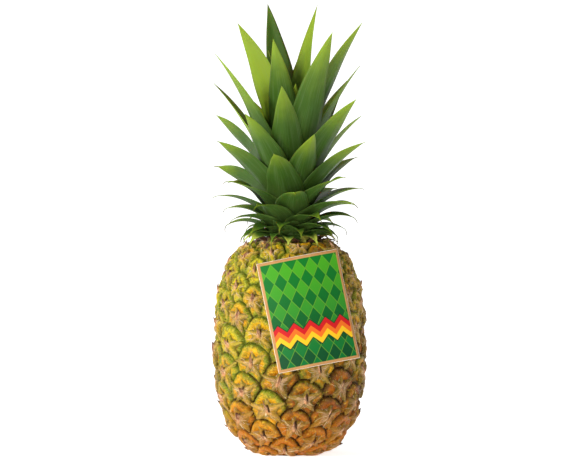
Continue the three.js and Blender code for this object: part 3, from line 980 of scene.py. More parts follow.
def leaf_half_width(leaf, s):
    half = leaf["width"] / 2 * (1 - np.minimum(1, s) ** TAPER) * np.minimum(1, FOOT_WIDTH + s)
    return np.maximum(half, WHISKER_HALF_WIDTH * (1 - s / s[-1]) ** 0.5)


def leaf_rows(leaf, s, w, thickness):
    """A closed row of points at each station along the leaf: its outside, then its inside."""
    out, up, lean = leaf_spine(leaf, s)
    upright = np.array([0, 0, 1])
    outward = np.array([math.sin(leaf["turn"]), -math.cos(leaf["turn"]), 0])
    sideways = np.array([math.cos(leaf["turn"]), math.sin(leaf["turn"]), 0])
    rib = outward * out[:, None] + upright * up[:, None]
    inward = -outward * np.cos(lean)[:, None] + upright * np.sin(lean)[:, None]
    twist = leaf["twist"] * s[:, None]
    across = sideways * np.cos(twist) + inward * np.sin(twist)
    share = np.minimum(1, s)
    half = leaf_half_width(leaf, s)
    wave = 1 + WAVE["share"] * np.sin(s * WAVE["often"] + leaf["seed"] * WAVE["own"])[:, None] * w
    fold = STRAIGHT_FOLD * np.abs(w) + (1 - STRAIGHT_FOLD) * w**2
    channel = (half * (CHANNEL[0] + (CHANNEL[1] - CHANNEL[0]) * share))[:, None] * fold
    thick = (thickness * (1 - THINNER["tip"] * share))[:, None] * (1 - THINNER["margin"] * np.abs(w) ** 3)
    blade = rib[:, None] + across[:, None] * (half[:, None] * w * wave)[..., None]
    inner = blade + inward[:, None] * (channel + thick / 2)[..., None]
    outer = blade + inward[:, None] * (channel - thick / 2)[..., None]
    return np.concatenate([outer, inner[:, ::-1]], axis=1)


def add_leaf(batch, leaf, thickness=LEAF_THICKNESS, clear=True):
    s = (1 - (1 - np.linspace(0, 1, LEAF_ROWS)) ** 1.25) * (1 + leaf["whisker"])
    w = np.linspace(-1, 1, LEAF_COLUMNS)
    rows = leaf_rows(leaf, s, w, thickness)
    if clear:
        rows = lift_clear(rows)
    shape = rows.shape[:2]
    across = (np.concatenate([w, w[::-1]]) + 1) / 2
    numbers = grid(shape, s[:, None], across, leaf["fresh"], leaf["seed"])
    places = grid(shape, np.repeat([0, 1], LEAF_COLUMNS), (s * leaf["length"])[:, None])
    batch.add(rows, capped_faces(*shape), numbers, places)


def grow_crown():
    batch = Batch()
    for leaf in crown_leaves():
        add_leaf(batch, leaf)
    return batch.piece("crown_leaves")


crown = grow_crown()

# %% [markdown]
# ## The collar and the stem
#
# Where the crown leaves the fruit there is a ragged ring of small bracts, half green and half dried, and in
# the shade behind them the end of the stem. They hide the join, and without them the crown looks plugged
# in.

# %% Collar and stem
COLLAR_COUNT = 34
COLLAR_SEED = 23
COLLAR_THICKNESS = 0.7
STEM_SIDES = 32
STEM_PROFILE = (
    (0.01, 164),
    (15.5, 164),
    (15.5, NECK_Z - 1),
    (20, NECK_Z + 1),
    (17, 190),
    (8, 222),
    (0.01, 230),
)  # radius and height


def grow_collar():
    batch = Batch()
    draw = Draws(COLLAR_SEED)
    for index in range(COLLAR_COUNT):
        radius = draw.between(17.5, 23)
        scale = {
            "turn": index * GOLDEN_STEP + 0.2 * draw(),
            "length": draw.between(9, 17),
            "width": draw.between(6, 10),
            "foot_lean": draw.between(15, 75),
            "tip_lean": draw.between(95, 165),
            "foot": (radius, NECK_Z - draw.between(1.5, 3)),
            "twist": 0.5 * draw(),
            "whisker": draw.between(0, 0.5),
            "hook": draw.between(-150, 150),
            "fresh": 0,
            "seed": draw.between(0, 1),
        }
        add_leaf(batch, scale, COLLAR_THICKNESS, clear=False)
    return batch.piece("crown_collar")


def grow_stem():
    rows = rings_about_axis(np.linspace(0, TURN, STEM_SIDES, endpoint=False), STEM_PROFILE)
    batch = Batch()
    batch.add(np.concatenate(rows), ring_faces(len(rows), STEM_SIDES), (0.02, 0.5, 0.2, 0.5))
    return batch.piece("crown_stem", weld=True)


collar = grow_collar()
stem = grow_stem()
for piece in (crown, collar, stem):
    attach(piece, "root")
    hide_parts("crown")

# %% [markdown]
# ## The card
#
# The sheet is a fine grid, so that its bend is smooth and its corners can lift a little.

# %% Card
CARD_CELLS = (40, 54)
CORNER_LIFT = 0.5


def card_faces(wide, tall):
    """Faces of both sheets, and of the edge between them."""
    size = (wide + 1) * (tall + 1)
    corner = lambda sheet, row, column: sheet * size + row * (wide + 1) + column
    faces = []
    for row in range(tall):
        for column in range(wide):
            quad = [(row, column), (row, column + 1), (row + 1, column + 1), (row + 1, column)]
            faces.append(tuple(corner(0, *place) for place in quad))
            faces.append(tuple(corner(1, *place) for place in quad[::-1]))
    rim = [(0, c) for c in range(wide)] + [(r, wide) for r in range(tall)]
    rim += [(tall, c) for c in range(wide, 0, -1)] + [(r, 0) for r in range(tall, 0, -1)]
    for start, end in zip(rim, rim[1:] + rim[:1]):
        faces.append((corner(0, *end), corner(0, *start), corner(1, *start), corner(1, *end)))
    return faces


def make_card():
    wide, tall = CARD_CELLS
    across, up = np.meshgrid(np.linspace(-0.5, 0.5, wide + 1), np.linspace(-0.5, 0.5, tall + 1))
    x, y = across * CARD["width"], up * CARD["height"]
    curl = CORNER_LIFT * np.abs(across * 2) ** 4 * np.abs(up * 2) ** 3
    angle = x / CARD["bend"]
    sheets = []
    for face in (CARD["solid_thickness"], CARD_BACK):
        radius = CARD["bend"] + face + curl
        sheet = np.stack([radius * np.cos(angle) - CARD["bend"], radius * np.sin(angle), y], -1)
        sheets.append(sheet.reshape(-1, 3))
    points = np.concatenate(sheets) @ card_axes.T + card_middle
    flat = np.stack([x + CARD["width"] / 2, y + CARD["height"] / 2], -1).reshape(-1, 2)
    numbers = np.zeros((len(points), 4))
    numbers[: len(flat), 0] = 1  # the printed side
    return make_piece("label_card_sheet", points, card_faces(wide, tall), numbers, np.tile(flat, (2, 1)))


card = make_card()
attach(card, "root")
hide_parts("label_card")

# %% [markdown]
# ## Mixing materials
#
# All the finishes are node trees. Written out, each node takes three lines, and the idea behind the finish
# is lost among them. Two small helpers keep one material's tree, and let its nodes be added, multiplied and
# laid over each other in plain arithmetic, so that each recipe below reads as what covers what.

# %% Material helpers
def paint(red, green, blue):
    """A colour as it looks on a screen, from 0 to 255, turned to the shader's scale."""
    shares = [shade / 255 for shade in (red, green, blue)]
    straight = [s / 12.92 if s <= 0.0393 else ((s + 0.055) / 1.055) ** 2.4 for s in shares]
    return (*straight, 1)


class Value:
    """What comes out of a node. Arithmetic on it adds nodes."""

    def __init__(self, recipe, socket):
        self.recipe, self.socket = recipe, socket

    def maths(self, operation, other=0.0, clamp=False):
        return self.recipe.node("Math", {0: self, 1: other}, operation=operation, use_clamp=clamp)

    def __add__(self, other):
        return self.maths("ADD", other)

    def __sub__(self, other):
        return self.maths("SUBTRACT", other)

    def __mul__(self, other):
        return self.maths("MULTIPLY", other)

    def wander(self, noise_value, much):
        """The value, pushed up and down by a noise."""
        return self + (noise_value - 0.5) * much

    def spread(self, low, high, to_low=0.0, to_high=1.0):
        """The value's place between low and high, kept between the two results."""
        given = {0: self, 1: low, 2: high, 3: to_low, 4: to_high}
        return self.recipe.node("MapRange", given, interpolation_type="SMOOTHSTEP")

    def under(self, share, cover):
        """This colour with another laid over a share of it."""
        return self.recipe.blend(share, self, cover)


class Recipe:
    """One material, and short calls for the nodes in it."""

    def __init__(self, name):
        self.material = bpy.data.materials.new(name)
        self.material.use_nodes = True
        self.tree = self.material.node_tree
        self.shader = self.tree.nodes["Principled BSDF"]

    def put(self, socket, value):
        if isinstance(value, Value):
            self.tree.links.new(value.socket, socket)
        else:
            socket.default_value = value

    def node(self, kind, inputs=(), output=0, **settings):
        made = self.tree.nodes.new("ShaderNode" + kind)
        for key, value in settings.items():
            setattr(made, key, value)
        for key, value in dict(inputs).items():
            self.put(made.inputs[key], value)
        return Value(self, made.outputs[output])

    def blend(self, share, a, b):
        return self.node("Mix", {0: share, 6: a, 7: b}, output=2, data_type="RGBA")

    def noise(self, where, often, detail=3.0, rough=0.55):
        return self.node("TexNoise", {"Vector": where, "Scale": often, "Detail": detail, "Roughness": rough})

    def split(self, vector, into="XYZ"):
        made = self.node("Separate" + into, {0: vector}).socket.node
        return [Value(self, socket) for socket in made.outputs]

    def numbers(self):
        """The four numbers stored on the mesh."""
        stored = self.node("Attribute", output="Color", attribute_name="numbers")
        return [*self.split(stored, "Color"), Value(self, stored.socket.node.outputs["Alpha"])]

    def places(self):
        """The two places stored on the mesh."""
        return self.split(self.node("UVMap", uv_map="places"))[:2]

    def here(self):
        """Where the surface is, in the object's own metres."""
        return self.node("TexCoord", output="Object")

    def point(self, x, y, z=0.0):
        return self.node("CombineXYZ", {0: x, 1: y, 2: z})

    def bump(self, height, distance, strength, under=None):
        given = {"Height": height, "Distance": distance, "Strength": strength}
        if under is not None:
            given["Normal"] = under
        return self.node("Bump", given)

    def finish(self, colour, roughness, normal=None, **fixed):
        self.put(self.shader.inputs["Base Color"], colour)
        self.put(self.shader.inputs["Roughness"], roughness)
        if normal is not None:
            self.put(self.shader.inputs["Normal"], normal)
        for key, value in fixed.items():
            self.put(self.shader.inputs[key.replace("_", " ")], value)
        return self.material


# %% [markdown]
# ## Skin colours
#
# A ripe fruit isn't one yellow. The domes go from green-gold at the shoulder to orange and brown at the
# base, and every eye has its own shade. Green holds out longest along the grooves, and all of it is
# streaked outwards from the eye's middle. Slow noise decides how ripe each place is. Towards the right the
# fruit is riper and so darker, partly as painted shade, and near the base it is painted a brighter orange,
# partly as light bounced from the floor. The stored numbers say how far each place is from the middle of its
# eye. In the tables, a pair says where a layer begins and where it is full.

# %% Ripeness and streaks
# Scale and detail of each noise, and for some its roughness
NOISES = {
    "ripeness": (16, 2),
    "base": (60, 4),
    "skin": (150, 4, 0.65),
    "grain": (700, 3, 0.6),
    "star": (170, 4, 0.65),
    "fibre": (1500, 2),
    "patches": (40, 3),
    "leaf": (900, 2),
    "tan": (60, 2),
    "board": (500, 2),
    "card": (350, 3),
    "floor": (30, 2),
}
# Distance in metres and strength of each bump
BUMPS = {
    "skin streaks": (0.0024, 0.9),
    "star streaks": (0.0022, 0.9),
    "blotches": (0.0026, 0.9),
    "grain": (0.0006, 0.8),
    "tip": (0.0006, 0.9),
    "fibre": (0.0002, 0.5),
    "leaf": (0.0001, 0.3),
    "veins": (0.0004, 0.35),
    "collar": (0.0005, 0.7),
    "card": (0.0001, 0.4),
}
RIPENESS = {"base": 0.8, "noise": 0.7, "right": 3.3, "own": 0.4}
RIPE_FROM_TOP = (0.19, 0.0)  # metres
SHOULDER = (0.158, 0.172, 0.16, 0.5)  # metres, and the ripeness added below and above them
# Near the base the fruit is painted a brighter orange: partly the ripe base's own colour, partly painted
# light bounced up from the floor
BASE_ORANGE_AND_LIGHT = {"metres": (0.055, 0.01), "uneven": 0.06, "share": 0.6}


def ripeness(r, where, seed):
    """From 0, green, to 1, orange: riper towards the base, and uneven. Towards the right it is riper and
    darker, partly as painted shade.
    """
    x, _, z = r.split(where)
    slow = r.noise(where, *NOISES["ripeness"]) - 0.5
    ripe = z.spread(*RIPE_FROM_TOP) * RIPENESS["base"] + slow * RIPENESS["noise"]
    # Riper towards the right: partly the fruit's own colour, partly painted shade on the side away from the
    # key light
    ripe = ripe + x * RIPENESS["right"] + (seed - 0.5) * RIPENESS["own"]
    return ripe.maths("ADD", z.spread(*SHOULDER), clamp=True)


def base_orange_and_light(r, where):
    """How much of the base's bright orange there is: partly the ripe base's own colour, partly painted light
    bounced from the floor.
    """
    height = r.split(where)[2].wander(r.noise(where, *NOISES["base"]), BASE_ORANGE_AND_LIGHT["uneven"])
    return height.spread(*BASE_ORANGE_AND_LIGHT["metres"]) * BASE_ORANGE_AND_LIGHT["share"]


def three_colours(r, share, first, second, third):
    return r.blend(share.spread(0.0, 0.5), first, second).under(share.spread(0.5, 1.0), third)


def outward_streaks(r, x, y, seed, fine):
    """Noise in streaks that run out from an eye's middle."""
    angle = y.maths("ARCTAN2", x)
    distance = (x * x + y * y).maths("SQRT")
    return r.noise(r.point(angle * fine, distance * 0.25, seed * 9), 1.6, 4)


def spotted(r, colour, where, spots):
    """The colour under layers of small spots."""
    for often, detail, rough, edges, share, cover in spots:
        colour = colour.under(r.noise(where, often, detail, rough).spread(*edges) * share, cover)
    return colour


# %% [markdown]
# The dome comes first, then its green rim with pale teeth that are partly painted highlight, then the groove,
# the brown middle and the small spots, of which the pale specks are painted highlights.

# %% Skin material
DOME_COLOURS = (paint(214, 198, 16), paint(228, 164, 8), paint(160, 76, 4))  # green, gold, orange
RIM_COLOURS = (paint(122, 136, 24), paint(98, 60, 16))  # green, brown
GROOVE_COLOURS = (paint(98, 112, 26), paint(58, 32, 8))
WARM = {"edges": (0.55, 0.15), "share": 0.75, "colour": paint(214, 112, 14)}
# Pale teeth on the dome's rim: partly a real pale fringe, partly painted highlight along the dome's edge
TEETH_AND_HIGHLIGHT = {"edges": (0.5, 0.75), "streaks": (0.53, 0.6), "ripe": (0.85, 0.4, 0.1, 0.6)}
TEETH_AND_HIGHLIGHT_COLOUR = paint(222, 200, 92)
SKIN_EDGES = {"rim": (0.56, 0.92), "groove": (0.9, 0.98), "middle": (0.26, 0.1)}
BROWNED = {"rim": (0.5, 0.9), "groove": (0.35, 0.7)}  # ripeness at which these turn brown
# Bright orange near the base, partly painted light
SKIN_BASE_ORANGE_AND_LIGHT = paint(222, 128, 12)
MIDDLE_BROWN = paint(96, 46, 26)
# Scale, detail and roughness of the noise, where it shows, its share and colour: freckles, pale specks that
# are painted highlights, stains
SKIN_SPOTS = (
    (700, 3, 0.6, (0.55, 0.61), 0.4, paint(96, 72, 20)),
    (320, 5, 0.7, (0.55, 0.66), 0.4, paint(244, 216, 70)),
    (220, 4, 0.6, (0.42, 0.34), 0.5, paint(120, 88, 10)),
)


def dome_colour(r, t, ripe, blotch, streaks, fine):
    """The dome's own colour, its warm middle, the rim that holds out green, and pale teeth on the rim that
    are partly a real pale fringe and partly painted highlight.
    """
    colour = three_colours(r, ripe.wander(blotch, 0.9), *DOME_COLOURS)
    warm = t.wander(blotch, 0.7).spread(*WARM["edges"]) * WARM["share"]
    rim = r.blend(ripe.wander(streaks, 0.6).spread(*BROWNED["rim"]), *RIM_COLOURS)
    colour = colour.under(warm, WARM["colour"])
    colour = colour.under(t.wander(blotch, 1.0).spread(*SKIN_EDGES["rim"]), rim)
    teeth_and_highlight = t.spread(*TEETH_AND_HIGHLIGHT["edges"]) * fine.spread(*TEETH_AND_HIGHLIGHT["streaks"]) * ripe.spread(*TEETH_AND_HIGHLIGHT["ripe"])
    return colour.under(teeth_and_highlight, TEETH_AND_HIGHLIGHT_COLOUR)


def skin_material():
    r = Recipe("pineapple_skin")
    t, seed = r.numbers()[:2]
    x, y = r.places()
    where = r.here()
    ripe = ripeness(r, where, seed)
    streaks = outward_streaks(r, x, y, seed, 9)
    blotch = r.noise(where, *NOISES["skin"])
    colour = dome_colour(r, t, ripe, blotch, streaks, outward_streaks(r, x, y, seed, 30))
    # The base painted brighter orange: its own riper colour, and painted light bounced from the floor
    colour = colour.under(base_orange_and_light(r, where), SKIN_BASE_ORANGE_AND_LIGHT)
    groove = r.blend(ripe.spread(*BROWNED["groove"]), *GROOVE_COLOURS)
    colour = colour.under(t.wander(blotch, 0.12).spread(*SKIN_EDGES["groove"]), groove)
    colour = colour.under(t.spread(*SKIN_EDGES["middle"]), MIDDLE_BROWN)
    colour = spotted(r, colour, where, SKIN_SPOTS)
    lines = r.bump(streaks, *BUMPS["skin streaks"])
    bumps = r.bump(blotch, *BUMPS["blotches"], lines)
    normal = r.bump(r.noise(where, *NOISES["grain"]), *BUMPS["grain"], bumps)
    rough = streaks.spread(0.3, 0.7, 0.22, 0.45)
    return r.finish(
        colour, rough, normal, Specular_IOR_Level=0.22, Subsurface_Weight=0.05, Subsurface_Scale=0.003
    )


# %% [markdown]
# ## Star colours
#
# A star's middle is dry: pinkish tan, with pale fibres that run out along its arms. Further out it is still
# alive, straw yellow and then green at the ends of its arms, except near the base, where it has dried to
# brown right to its rim and is painted a brighter orange, partly as light bounced from the floor. Its ridges
# are paler than the hollows between them, partly their own colour and partly a painted highlight along the
# arms' tops, and its lit streaks are painted highlights as well as pale fibres. The slit at its middle is
# painted dark, partly as the slit itself and partly as the shadow that the dry tip casts to its right.

# %% Star material
# Each row of three: green, straw and brown, from the least ripe to the ripest
STAR_BODY = (paint(224, 200, 12), paint(222, 164, 12), paint(152, 106, 20))
STAR_RIM_COLOURS = (paint(132, 142, 24), paint(136, 122, 26), paint(118, 96, 26))
# Pale ridges and lit streaks: partly the ridges' own paler colour, partly painted highlight on the arms' tops
STAR_RIDGES_AND_HIGHLIGHTS = (paint(246, 218, 44), paint(238, 198, 96), paint(186, 146, 62))
STAR_MIDDLE = (paint(142, 70, 38), paint(250, 212, 182))  # between the pale fibres, and the fibres
WORN = (paint(104, 108, 22), paint(92, 62, 18))  # on green and on ripe stars
# Bright orange near the base, partly painted light
STAR_BASE_ORANGE_AND_LIGHT = paint(216, 138, 26)
STAR_EDGES = {"rim": (0.45, 0.9), "ridge": (0.5, 1.0), "hollow": (0.3, 0.0)}
FINE_EDGES = {"lit": (0.53, 0.58), "worn": (0.46, 0.4), "pale": (0.42, 0.54)}  # in the fine streaks
STAR_SHARES = {"lit": 0.7, "dry": 0.9, "ridge": 0.5, "hollow": 0.24, "slit": 0.9}
WORN_SHARE = (0.2, 0.8, 0.3, 0.6)  # two ripenesses, and the share at each
DRY_REACH = (0.1, 0.9, 0.26, 0.52)  # two ripenesses, and how far out the middle is dry at each
HOLLOW_COLOUR = paint(96, 84, 20)
# Scale, detail and roughness of the noise, where it shows, its share and colour: freckles, pale specks that
# are painted highlights, stains
STAR_SPOTS = (
    (800, 3, 0.6, (0.55, 0.61), 0.3, paint(84, 56, 18)),
    (320, 5, 0.7, (0.55, 0.66), 0.3, paint(246, 220, 112)),
    (220, 4, 0.6, (0.42, 0.34), 0.4, paint(104, 72, 18)),
)
# The dark slit, painted partly as the slit itself and partly as the shadow that the dry tip casts to its
# right
SLIT_AND_SHADOW_PAINT = {"above": 1.5, "tall": (3.8, 2.4), "wide": (1.2, 0.4)}  # millimetres
SLIT_AND_SHADOW_BROWN = paint(58, 26, 14)


def living_star(r, t, ripe, blotch, streaks, fine):
    """The star where it is alive: its body, its rim, its lit streaks, which are painted highlights as well as
    pale fibres, and the worn ones between them.
    """
    body = three_colours(r, ripe.wander(streaks, 1.0), *STAR_BODY)
    rim = three_colours(r, ripe.wander(blotch, 0.9), *STAR_RIM_COLOURS)
    colour = body.under(t.wander(blotch, 0.5).spread(*STAR_EDGES["rim"]), rim)
    lit = fine.spread(*FINE_EDGES["lit"]) * STAR_SHARES["lit"]
    colour = colour.under(lit, three_colours(r, ripe, *STAR_RIDGES_AND_HIGHLIGHTS))
    worn = fine.spread(*FINE_EDGES["worn"]) * ripe.spread(*WORN_SHARE)
    return colour.under(worn, r.blend(ripe, *WORN))


def slit_and_shadow_share(x, y, seed, blotch):
    """How much of the dark slit there is, leaning with the tip that stands over it: partly the slit itself,
    partly the tip's shadow, painted to its right.
    """
    upward = y - SLIT_AND_SHADOW_PAINT["above"]
    tall = upward.maths("ABSOLUTE").spread(*SLIT_AND_SHADOW_PAINT["tall"])
    aside = x - SLIT["aside"] - (seed - 0.5) * TIP_LEANS * upward
    return aside.wander(blotch, 0.9).maths("ABSOLUTE").spread(*SLIT_AND_SHADOW_PAINT["wide"]) * tall


def star_material():
    r = Recipe("star_bract")
    t, seed, ridge = r.numbers()[:3]
    x, y = r.places()
    where = r.here()
    ripe = ripeness(r, where, seed)
    streaks = outward_streaks(r, x, y, seed, 12)
    fine = outward_streaks(r, x, y, seed, 34)
    blotch = r.noise(where, *NOISES["star"])
    colour = living_star(r, t, ripe, blotch, streaks, fine)
    dry = (t.wander(streaks, 0.8) - ripe.spread(*DRY_REACH)).spread(0.12, -0.12)
    colour = colour.under(dry * STAR_SHARES["dry"], r.blend(fine.spread(*FINE_EDGES["pale"]), *STAR_MIDDLE))
    # The ridge line: partly the ridges' own paler colour, partly a painted highlight along the arms' tops
    ridge_line_and_highlight = ridge.wander(blotch, 0.9).spread(*STAR_EDGES["ridge"]) * STAR_SHARES["ridge"]
    colour = colour.under(ridge_line_and_highlight, three_colours(r, ripe, *STAR_RIDGES_AND_HIGHLIGHTS))
    # The base painted brighter orange: its own riper colour, and painted light bounced from the floor
    colour = colour.under(base_orange_and_light(r, where), STAR_BASE_ORANGE_AND_LIGHT)
    colour = colour.under(ridge.spread(*STAR_EDGES["hollow"]) * STAR_SHARES["hollow"], HOLLOW_COLOUR)
    colour = spotted(r, colour, where, STAR_SPOTS)
    # Painted shadow of the dry tip, over the dark slit itself
    colour = colour.under(slit_and_shadow_share(x, y, seed, blotch) * STAR_SHARES["slit"], SLIT_AND_SHADOW_BROWN)
    normal = r.bump(blotch, *BUMPS["blotches"], r.bump(fine, *BUMPS["star streaks"]))
    rough = streaks.spread(0.3, 0.7, 0.28, 0.55)
    return r.finish(
        colour, rough, normal, Specular_IOR_Level=0.22, Subsurface_Weight=0.04, Subsurface_Scale=0.002
    )


skin.data.materials.append(skin_material())
stars.data.materials.append(star_material())

# %% [markdown]
# ## Dry parts
#
# The bract tips are papery and pinkish tan, darker at the ends. The fibres are pale straw and the flower
# remains dark brown, and one material does both: the third stored number says how brown each strand is.

# %% Bract and fibre materials
TIP_ROOTS = (paint(206, 142, 92), paint(208, 158, 78))  # at the base and at the shoulder of the fruit
TIP_STREAKS = (paint(160, 92, 52), paint(240, 200, 156))
TIP_EDGES = {"root": (0.1, 0.5), "brown": (0.6, 0.9), "fold": (0.5, 0.1), "fold_from": (0.36, 0.56)}
TIP_BROWN = paint(72, 36, 24)
FOLD_BROWN = paint(100, 46, 28)
PALE_STRANDS = (paint(246, 224, 172), paint(160, 104, 48))
BROWN_STRANDS = (paint(78, 38, 24), paint(36, 20, 16))


def bract_material():
    r = Recipe("dry_bract")
    along, seed, across, height = r.numbers()
    side, row = r.places()
    grain = r.noise(r.point(side * 3.2, row * 0.16, seed), 2.2, 4)
    root = r.blend(height.spread(0.3, 0.85), *TIP_ROOTS)
    streaks = r.blend(grain.spread(0.35, 0.65), *TIP_STREAKS)
    colour = root.under(along.spread(*TIP_EDGES["root"]), streaks)
    colour = colour.under(along.spread(*TIP_EDGES["brown"]) * seed.spread(0.1, 0.9, 0.6, 1.0), TIP_BROWN)
    folded = across.spread(*TIP_EDGES["fold"]) * along.wander(grain, 0.5).spread(*TIP_EDGES["fold_from"])
    colour = colour.under(folded * 0.8, FOLD_BROWN)
    normal = r.bump(grain, *BUMPS["tip"])
    return r.finish(
        colour, 0.68, normal, Specular_IOR_Level=0.2, Subsurface_Weight=0.05, Subsurface_Scale=0.002
    )


def fibre_material():
    r = Recipe("fibre_and_flower")
    own, _, brown, _ = r.numbers()
    colour = r.blend(own, *PALE_STRANDS).under(brown, r.blend(own, *BROWN_STRANDS))
    grain = r.noise(r.here(), *NOISES["fibre"])
    return r.finish(colour, 0.7, r.bump(grain, *BUMPS["fibre"]))


bract_tips.data.materials.append(bract_material())
dry_fibres = fibre_material()
for piece in (fibres, rim_fibres, flower_remains):
    piece.data.materials.append(dry_fibres)

# %% [markdown]
# ## Leaf colours
#
# The leaves turn yellow-green towards the tip, and they are painted darker at the foot of the crown, as the
# shade where they shade each other. Their outside has a grey bloom of fine scales, laid in lines along it,
# and their margins are a shade paler. The lowest have pale tips, and their whiskers are dry.

# %% Leaf and collar materials
LEAF_COLOURS = (paint(66, 90, 34), paint(54, 84, 22), paint(124, 148, 34))  # foot, blade, tip
# Painted shade low in the crown: the lower a leaf is, the darker it is painted
CROWN_SHADE = (0.225, 0.185, 0.0, 0.14)  # two heights in metres, and what each takes off the brightness
LEAF_LAYERS = {
    "veins": ((0.3, 0.7), 0.13, paint(50, 82, 28)),
    "pale tip": ((0.62, 0.92), 0.75, paint(196, 204, 84)),
    "bloom": ((0.45, 0.7), 0.12, paint(140, 160, 116)),
    "margin": ((0.93, 1.0), 0.12, paint(120, 150, 60)),
    "dry": ((1.0, 1.15), 1.0, paint(72, 68, 24)),
}  # where each layer shows, its share and its colour
COLLAR_FRESH = (paint(84, 98, 28), paint(164, 162, 64))  # at its foot and further out
COLLAR_DRIED = (paint(58, 32, 20), paint(140, 92, 60))
COLLAR_END = paint(88, 52, 36)


def leaf_layer(colour, kind, value, where=1.0):
    """The colour under one of the leaf's layers, where another value allows it."""
    edges, share, cover = LEAF_LAYERS[kind]
    return colour.under(value.spread(*edges) * where * share, cover)


def leaf_brightness(r, where, along, fresh, seed, patches):
    """From 0, the foot's colour, to 1, the tip's, less the painted shade low in the crown."""
    yellower = fresh.maths("MINIMUM", (fresh - 1) * -1)
    own = yellower + (seed - 0.5) * 0.25
    return along.wander(patches, 0.3) + own - r.split(where)[2].spread(*CROWN_SHADE)


def leaf_material():
    r = Recipe("crown_leaf")
    along, across, fresh, seed = r.numbers()
    side, length = r.places()
    where = r.here()
    off_rib = (across * 2 - 1).maths("ABSOLUTE")
    veins = r.noise(r.point(across * 34, length * 0.03, seed), 1.0, 3)
    patches = r.noise(where, *NOISES["patches"])
    colour = three_colours(r, leaf_brightness(r, where, along, fresh, seed, patches), *LEAF_COLOURS)
    colour = leaf_layer(colour, "veins", veins)
    colour = leaf_layer(colour, "pale tip", along, fresh.spread(0.8, 1.0))
    colour = leaf_layer(colour, "bloom", veins, (side - 1) * -1)
    colour = leaf_layer(colour, "margin", off_rib)
    colour = leaf_layer(colour, "dry", along + seed * 0.05)
    lines = r.bump(veins, *BUMPS["veins"])
    normal = r.bump(r.noise(where, *NOISES["leaf"]), *BUMPS["leaf"], lines)
    rough = patches.spread(0.2, 0.8, 0.42, 0.58)
    return r.finish(
        colour, rough, normal, Specular_IOR_Level=0.14, Subsurface_Weight=0.08, Subsurface_Scale=0.003
    )


def collar_material():
    r = Recipe("collar_scale")
    along, across, _, seed = r.numbers()
    veins = r.noise(r.point(across * 22, along * 1.5, seed), 1.0, 3)
    fresh = r.blend(along.spread(0.0, 0.6), *COLLAR_FRESH)
    dried = r.blend(veins.spread(0.3, 0.7), *COLLAR_DRIED)
    colour = fresh.under(seed.spread(0.38, 0.5), dried).under(along.spread(0.8, 0.97), COLLAR_END)
    return r.finish(colour, 0.6, r.bump(veins, *BUMPS["collar"]))


green_leaf = leaf_material()
crown.data.materials.append(green_leaf)
stem.data.materials.append(green_leaf)
collar.data.materials.append(collar_material())

# %% [markdown]
# ## The card's print
#
# The card is given a plain generic print: a tan border, a green panel of diamonds that gets lighter towards
# the top, and one band of red, orange and yellow chevrons. All of it is worked out from the stored places,
# which are millimetres across and up the card, so it stays sharp at any size. The print is half glossy, and
# the back and the cut edge are bare grey-white board.

# %% Card material
BORDER = 2.5
BARE_EDGE = 0.25
DIAMOND = (11, 16)  # width and height of one
BAND = {"middle": 31, "stripe": 4.6, "rise": 6.5, "width": 13.4, "line": 1.1}
PANEL_DEEP = (paint(0, 66, 30), paint(2, 104, 28))  # at the bottom and at the top
PANEL_BRIGHT = (paint(0, 98, 40), paint(62, 146, 22))
PANEL_LINE = paint(112, 160, 36)
BAND_EDGE = paint(0, 50, 26)
BAND_COLOURS = (paint(222, 176, 28), paint(214, 100, 26), paint(184, 20, 24))  # from the bottom up
CARD_TAN = (paint(158, 108, 60), paint(190, 144, 92))
CARD_BARE = paint(240, 232, 214)
CARD_BOARD = (paint(206, 200, 188), paint(224, 220, 210))
CARD_ROUGH = {"board": 0.8, "print": 0.48}


def saw(value, width):
    """0 at the middle of each repeat and 1 at its ends."""
    share = value.maths("DIVIDE", width).maths("FRACT")
    return (share * 2 - 1).maths("ABSOLUTE")


def step(value, edge, soft=0.12):
    return value.spread(edge - soft, edge + soft)


def print_panel(r, x, y):
    """The green panel, in diamonds with a thin light line round each."""
    lattice = saw(x, DIAMOND[0]) + saw(y, DIAMOND[1])
    light = y.spread(0, CARD["height"])
    panel = r.blend(light, *PANEL_DEEP).under(step(lattice, 1.0, 0.05), r.blend(light, *PANEL_BRIGHT))
    line = step(lattice, 0.94, 0.03) * step(lattice * -1, -1.06, 0.03)
    return panel.under(line * 0.5, PANEL_LINE)


def print_band(x, y, panel):
    """The panel with the zigzag band over it: each stripe covers all that is above its lower edge."""
    rise = y + saw(x, BAND["width"]) * BAND["rise"] - BAND["middle"]
    low, high = -1.5 * BAND["stripe"], 1.5 * BAND["stripe"]
    colour = panel.under(step(rise, low - BAND["line"]), BAND_EDGE)
    for count, stripe in enumerate(BAND_COLOURS):
        colour = colour.under(step(rise, low + count * BAND["stripe"]), stripe)
    return colour.under(step(rise, high), BAND_EDGE).under(step(rise, high + BAND["line"]), panel)


def card_material():
    r = Recipe("card_print")
    front = r.numbers()[0]
    x, y = r.places()
    where = r.here()
    sides = [x, (x - CARD["width"]) * -1, y, (y - CARD["height"]) * -1]
    inside = sides[0]
    for side in sides[1:]:
        inside = inside.maths("MINIMUM", side)
    printed = r.blend(r.noise(where, *NOISES["tan"]), *CARD_TAN)
    printed = printed.under(step(inside, BORDER), print_band(x, y, print_panel(r, x, y)))
    printed = r.blend(step(inside, BARE_EDGE), CARD_BARE, printed)
    colour = r.blend(r.noise(where, *NOISES["board"]), *CARD_BOARD).under(front, printed)
    rough = front.spread(0.0, 1.0, CARD_ROUGH["board"], CARD_ROUGH["print"])
    texture = r.bump(r.noise(where, *NOISES["card"]), *BUMPS["card"])
    return r.finish(colour, rough, texture, Specular_IOR_Level=0.18)


card.data.materials.append(card_material())

# %% [markdown]
# ## Floor and light
#
# The fruit stands on a plain pale floor. A small strong light at the upper left does most of the work, so
# that the right side falls off and the domes and leaves get form. A softer one low in front opens the shade
# under the crown, a very weak one fills the right, one behind catches the leaves' edges, and a bright even
# sky keeps the shadows open.

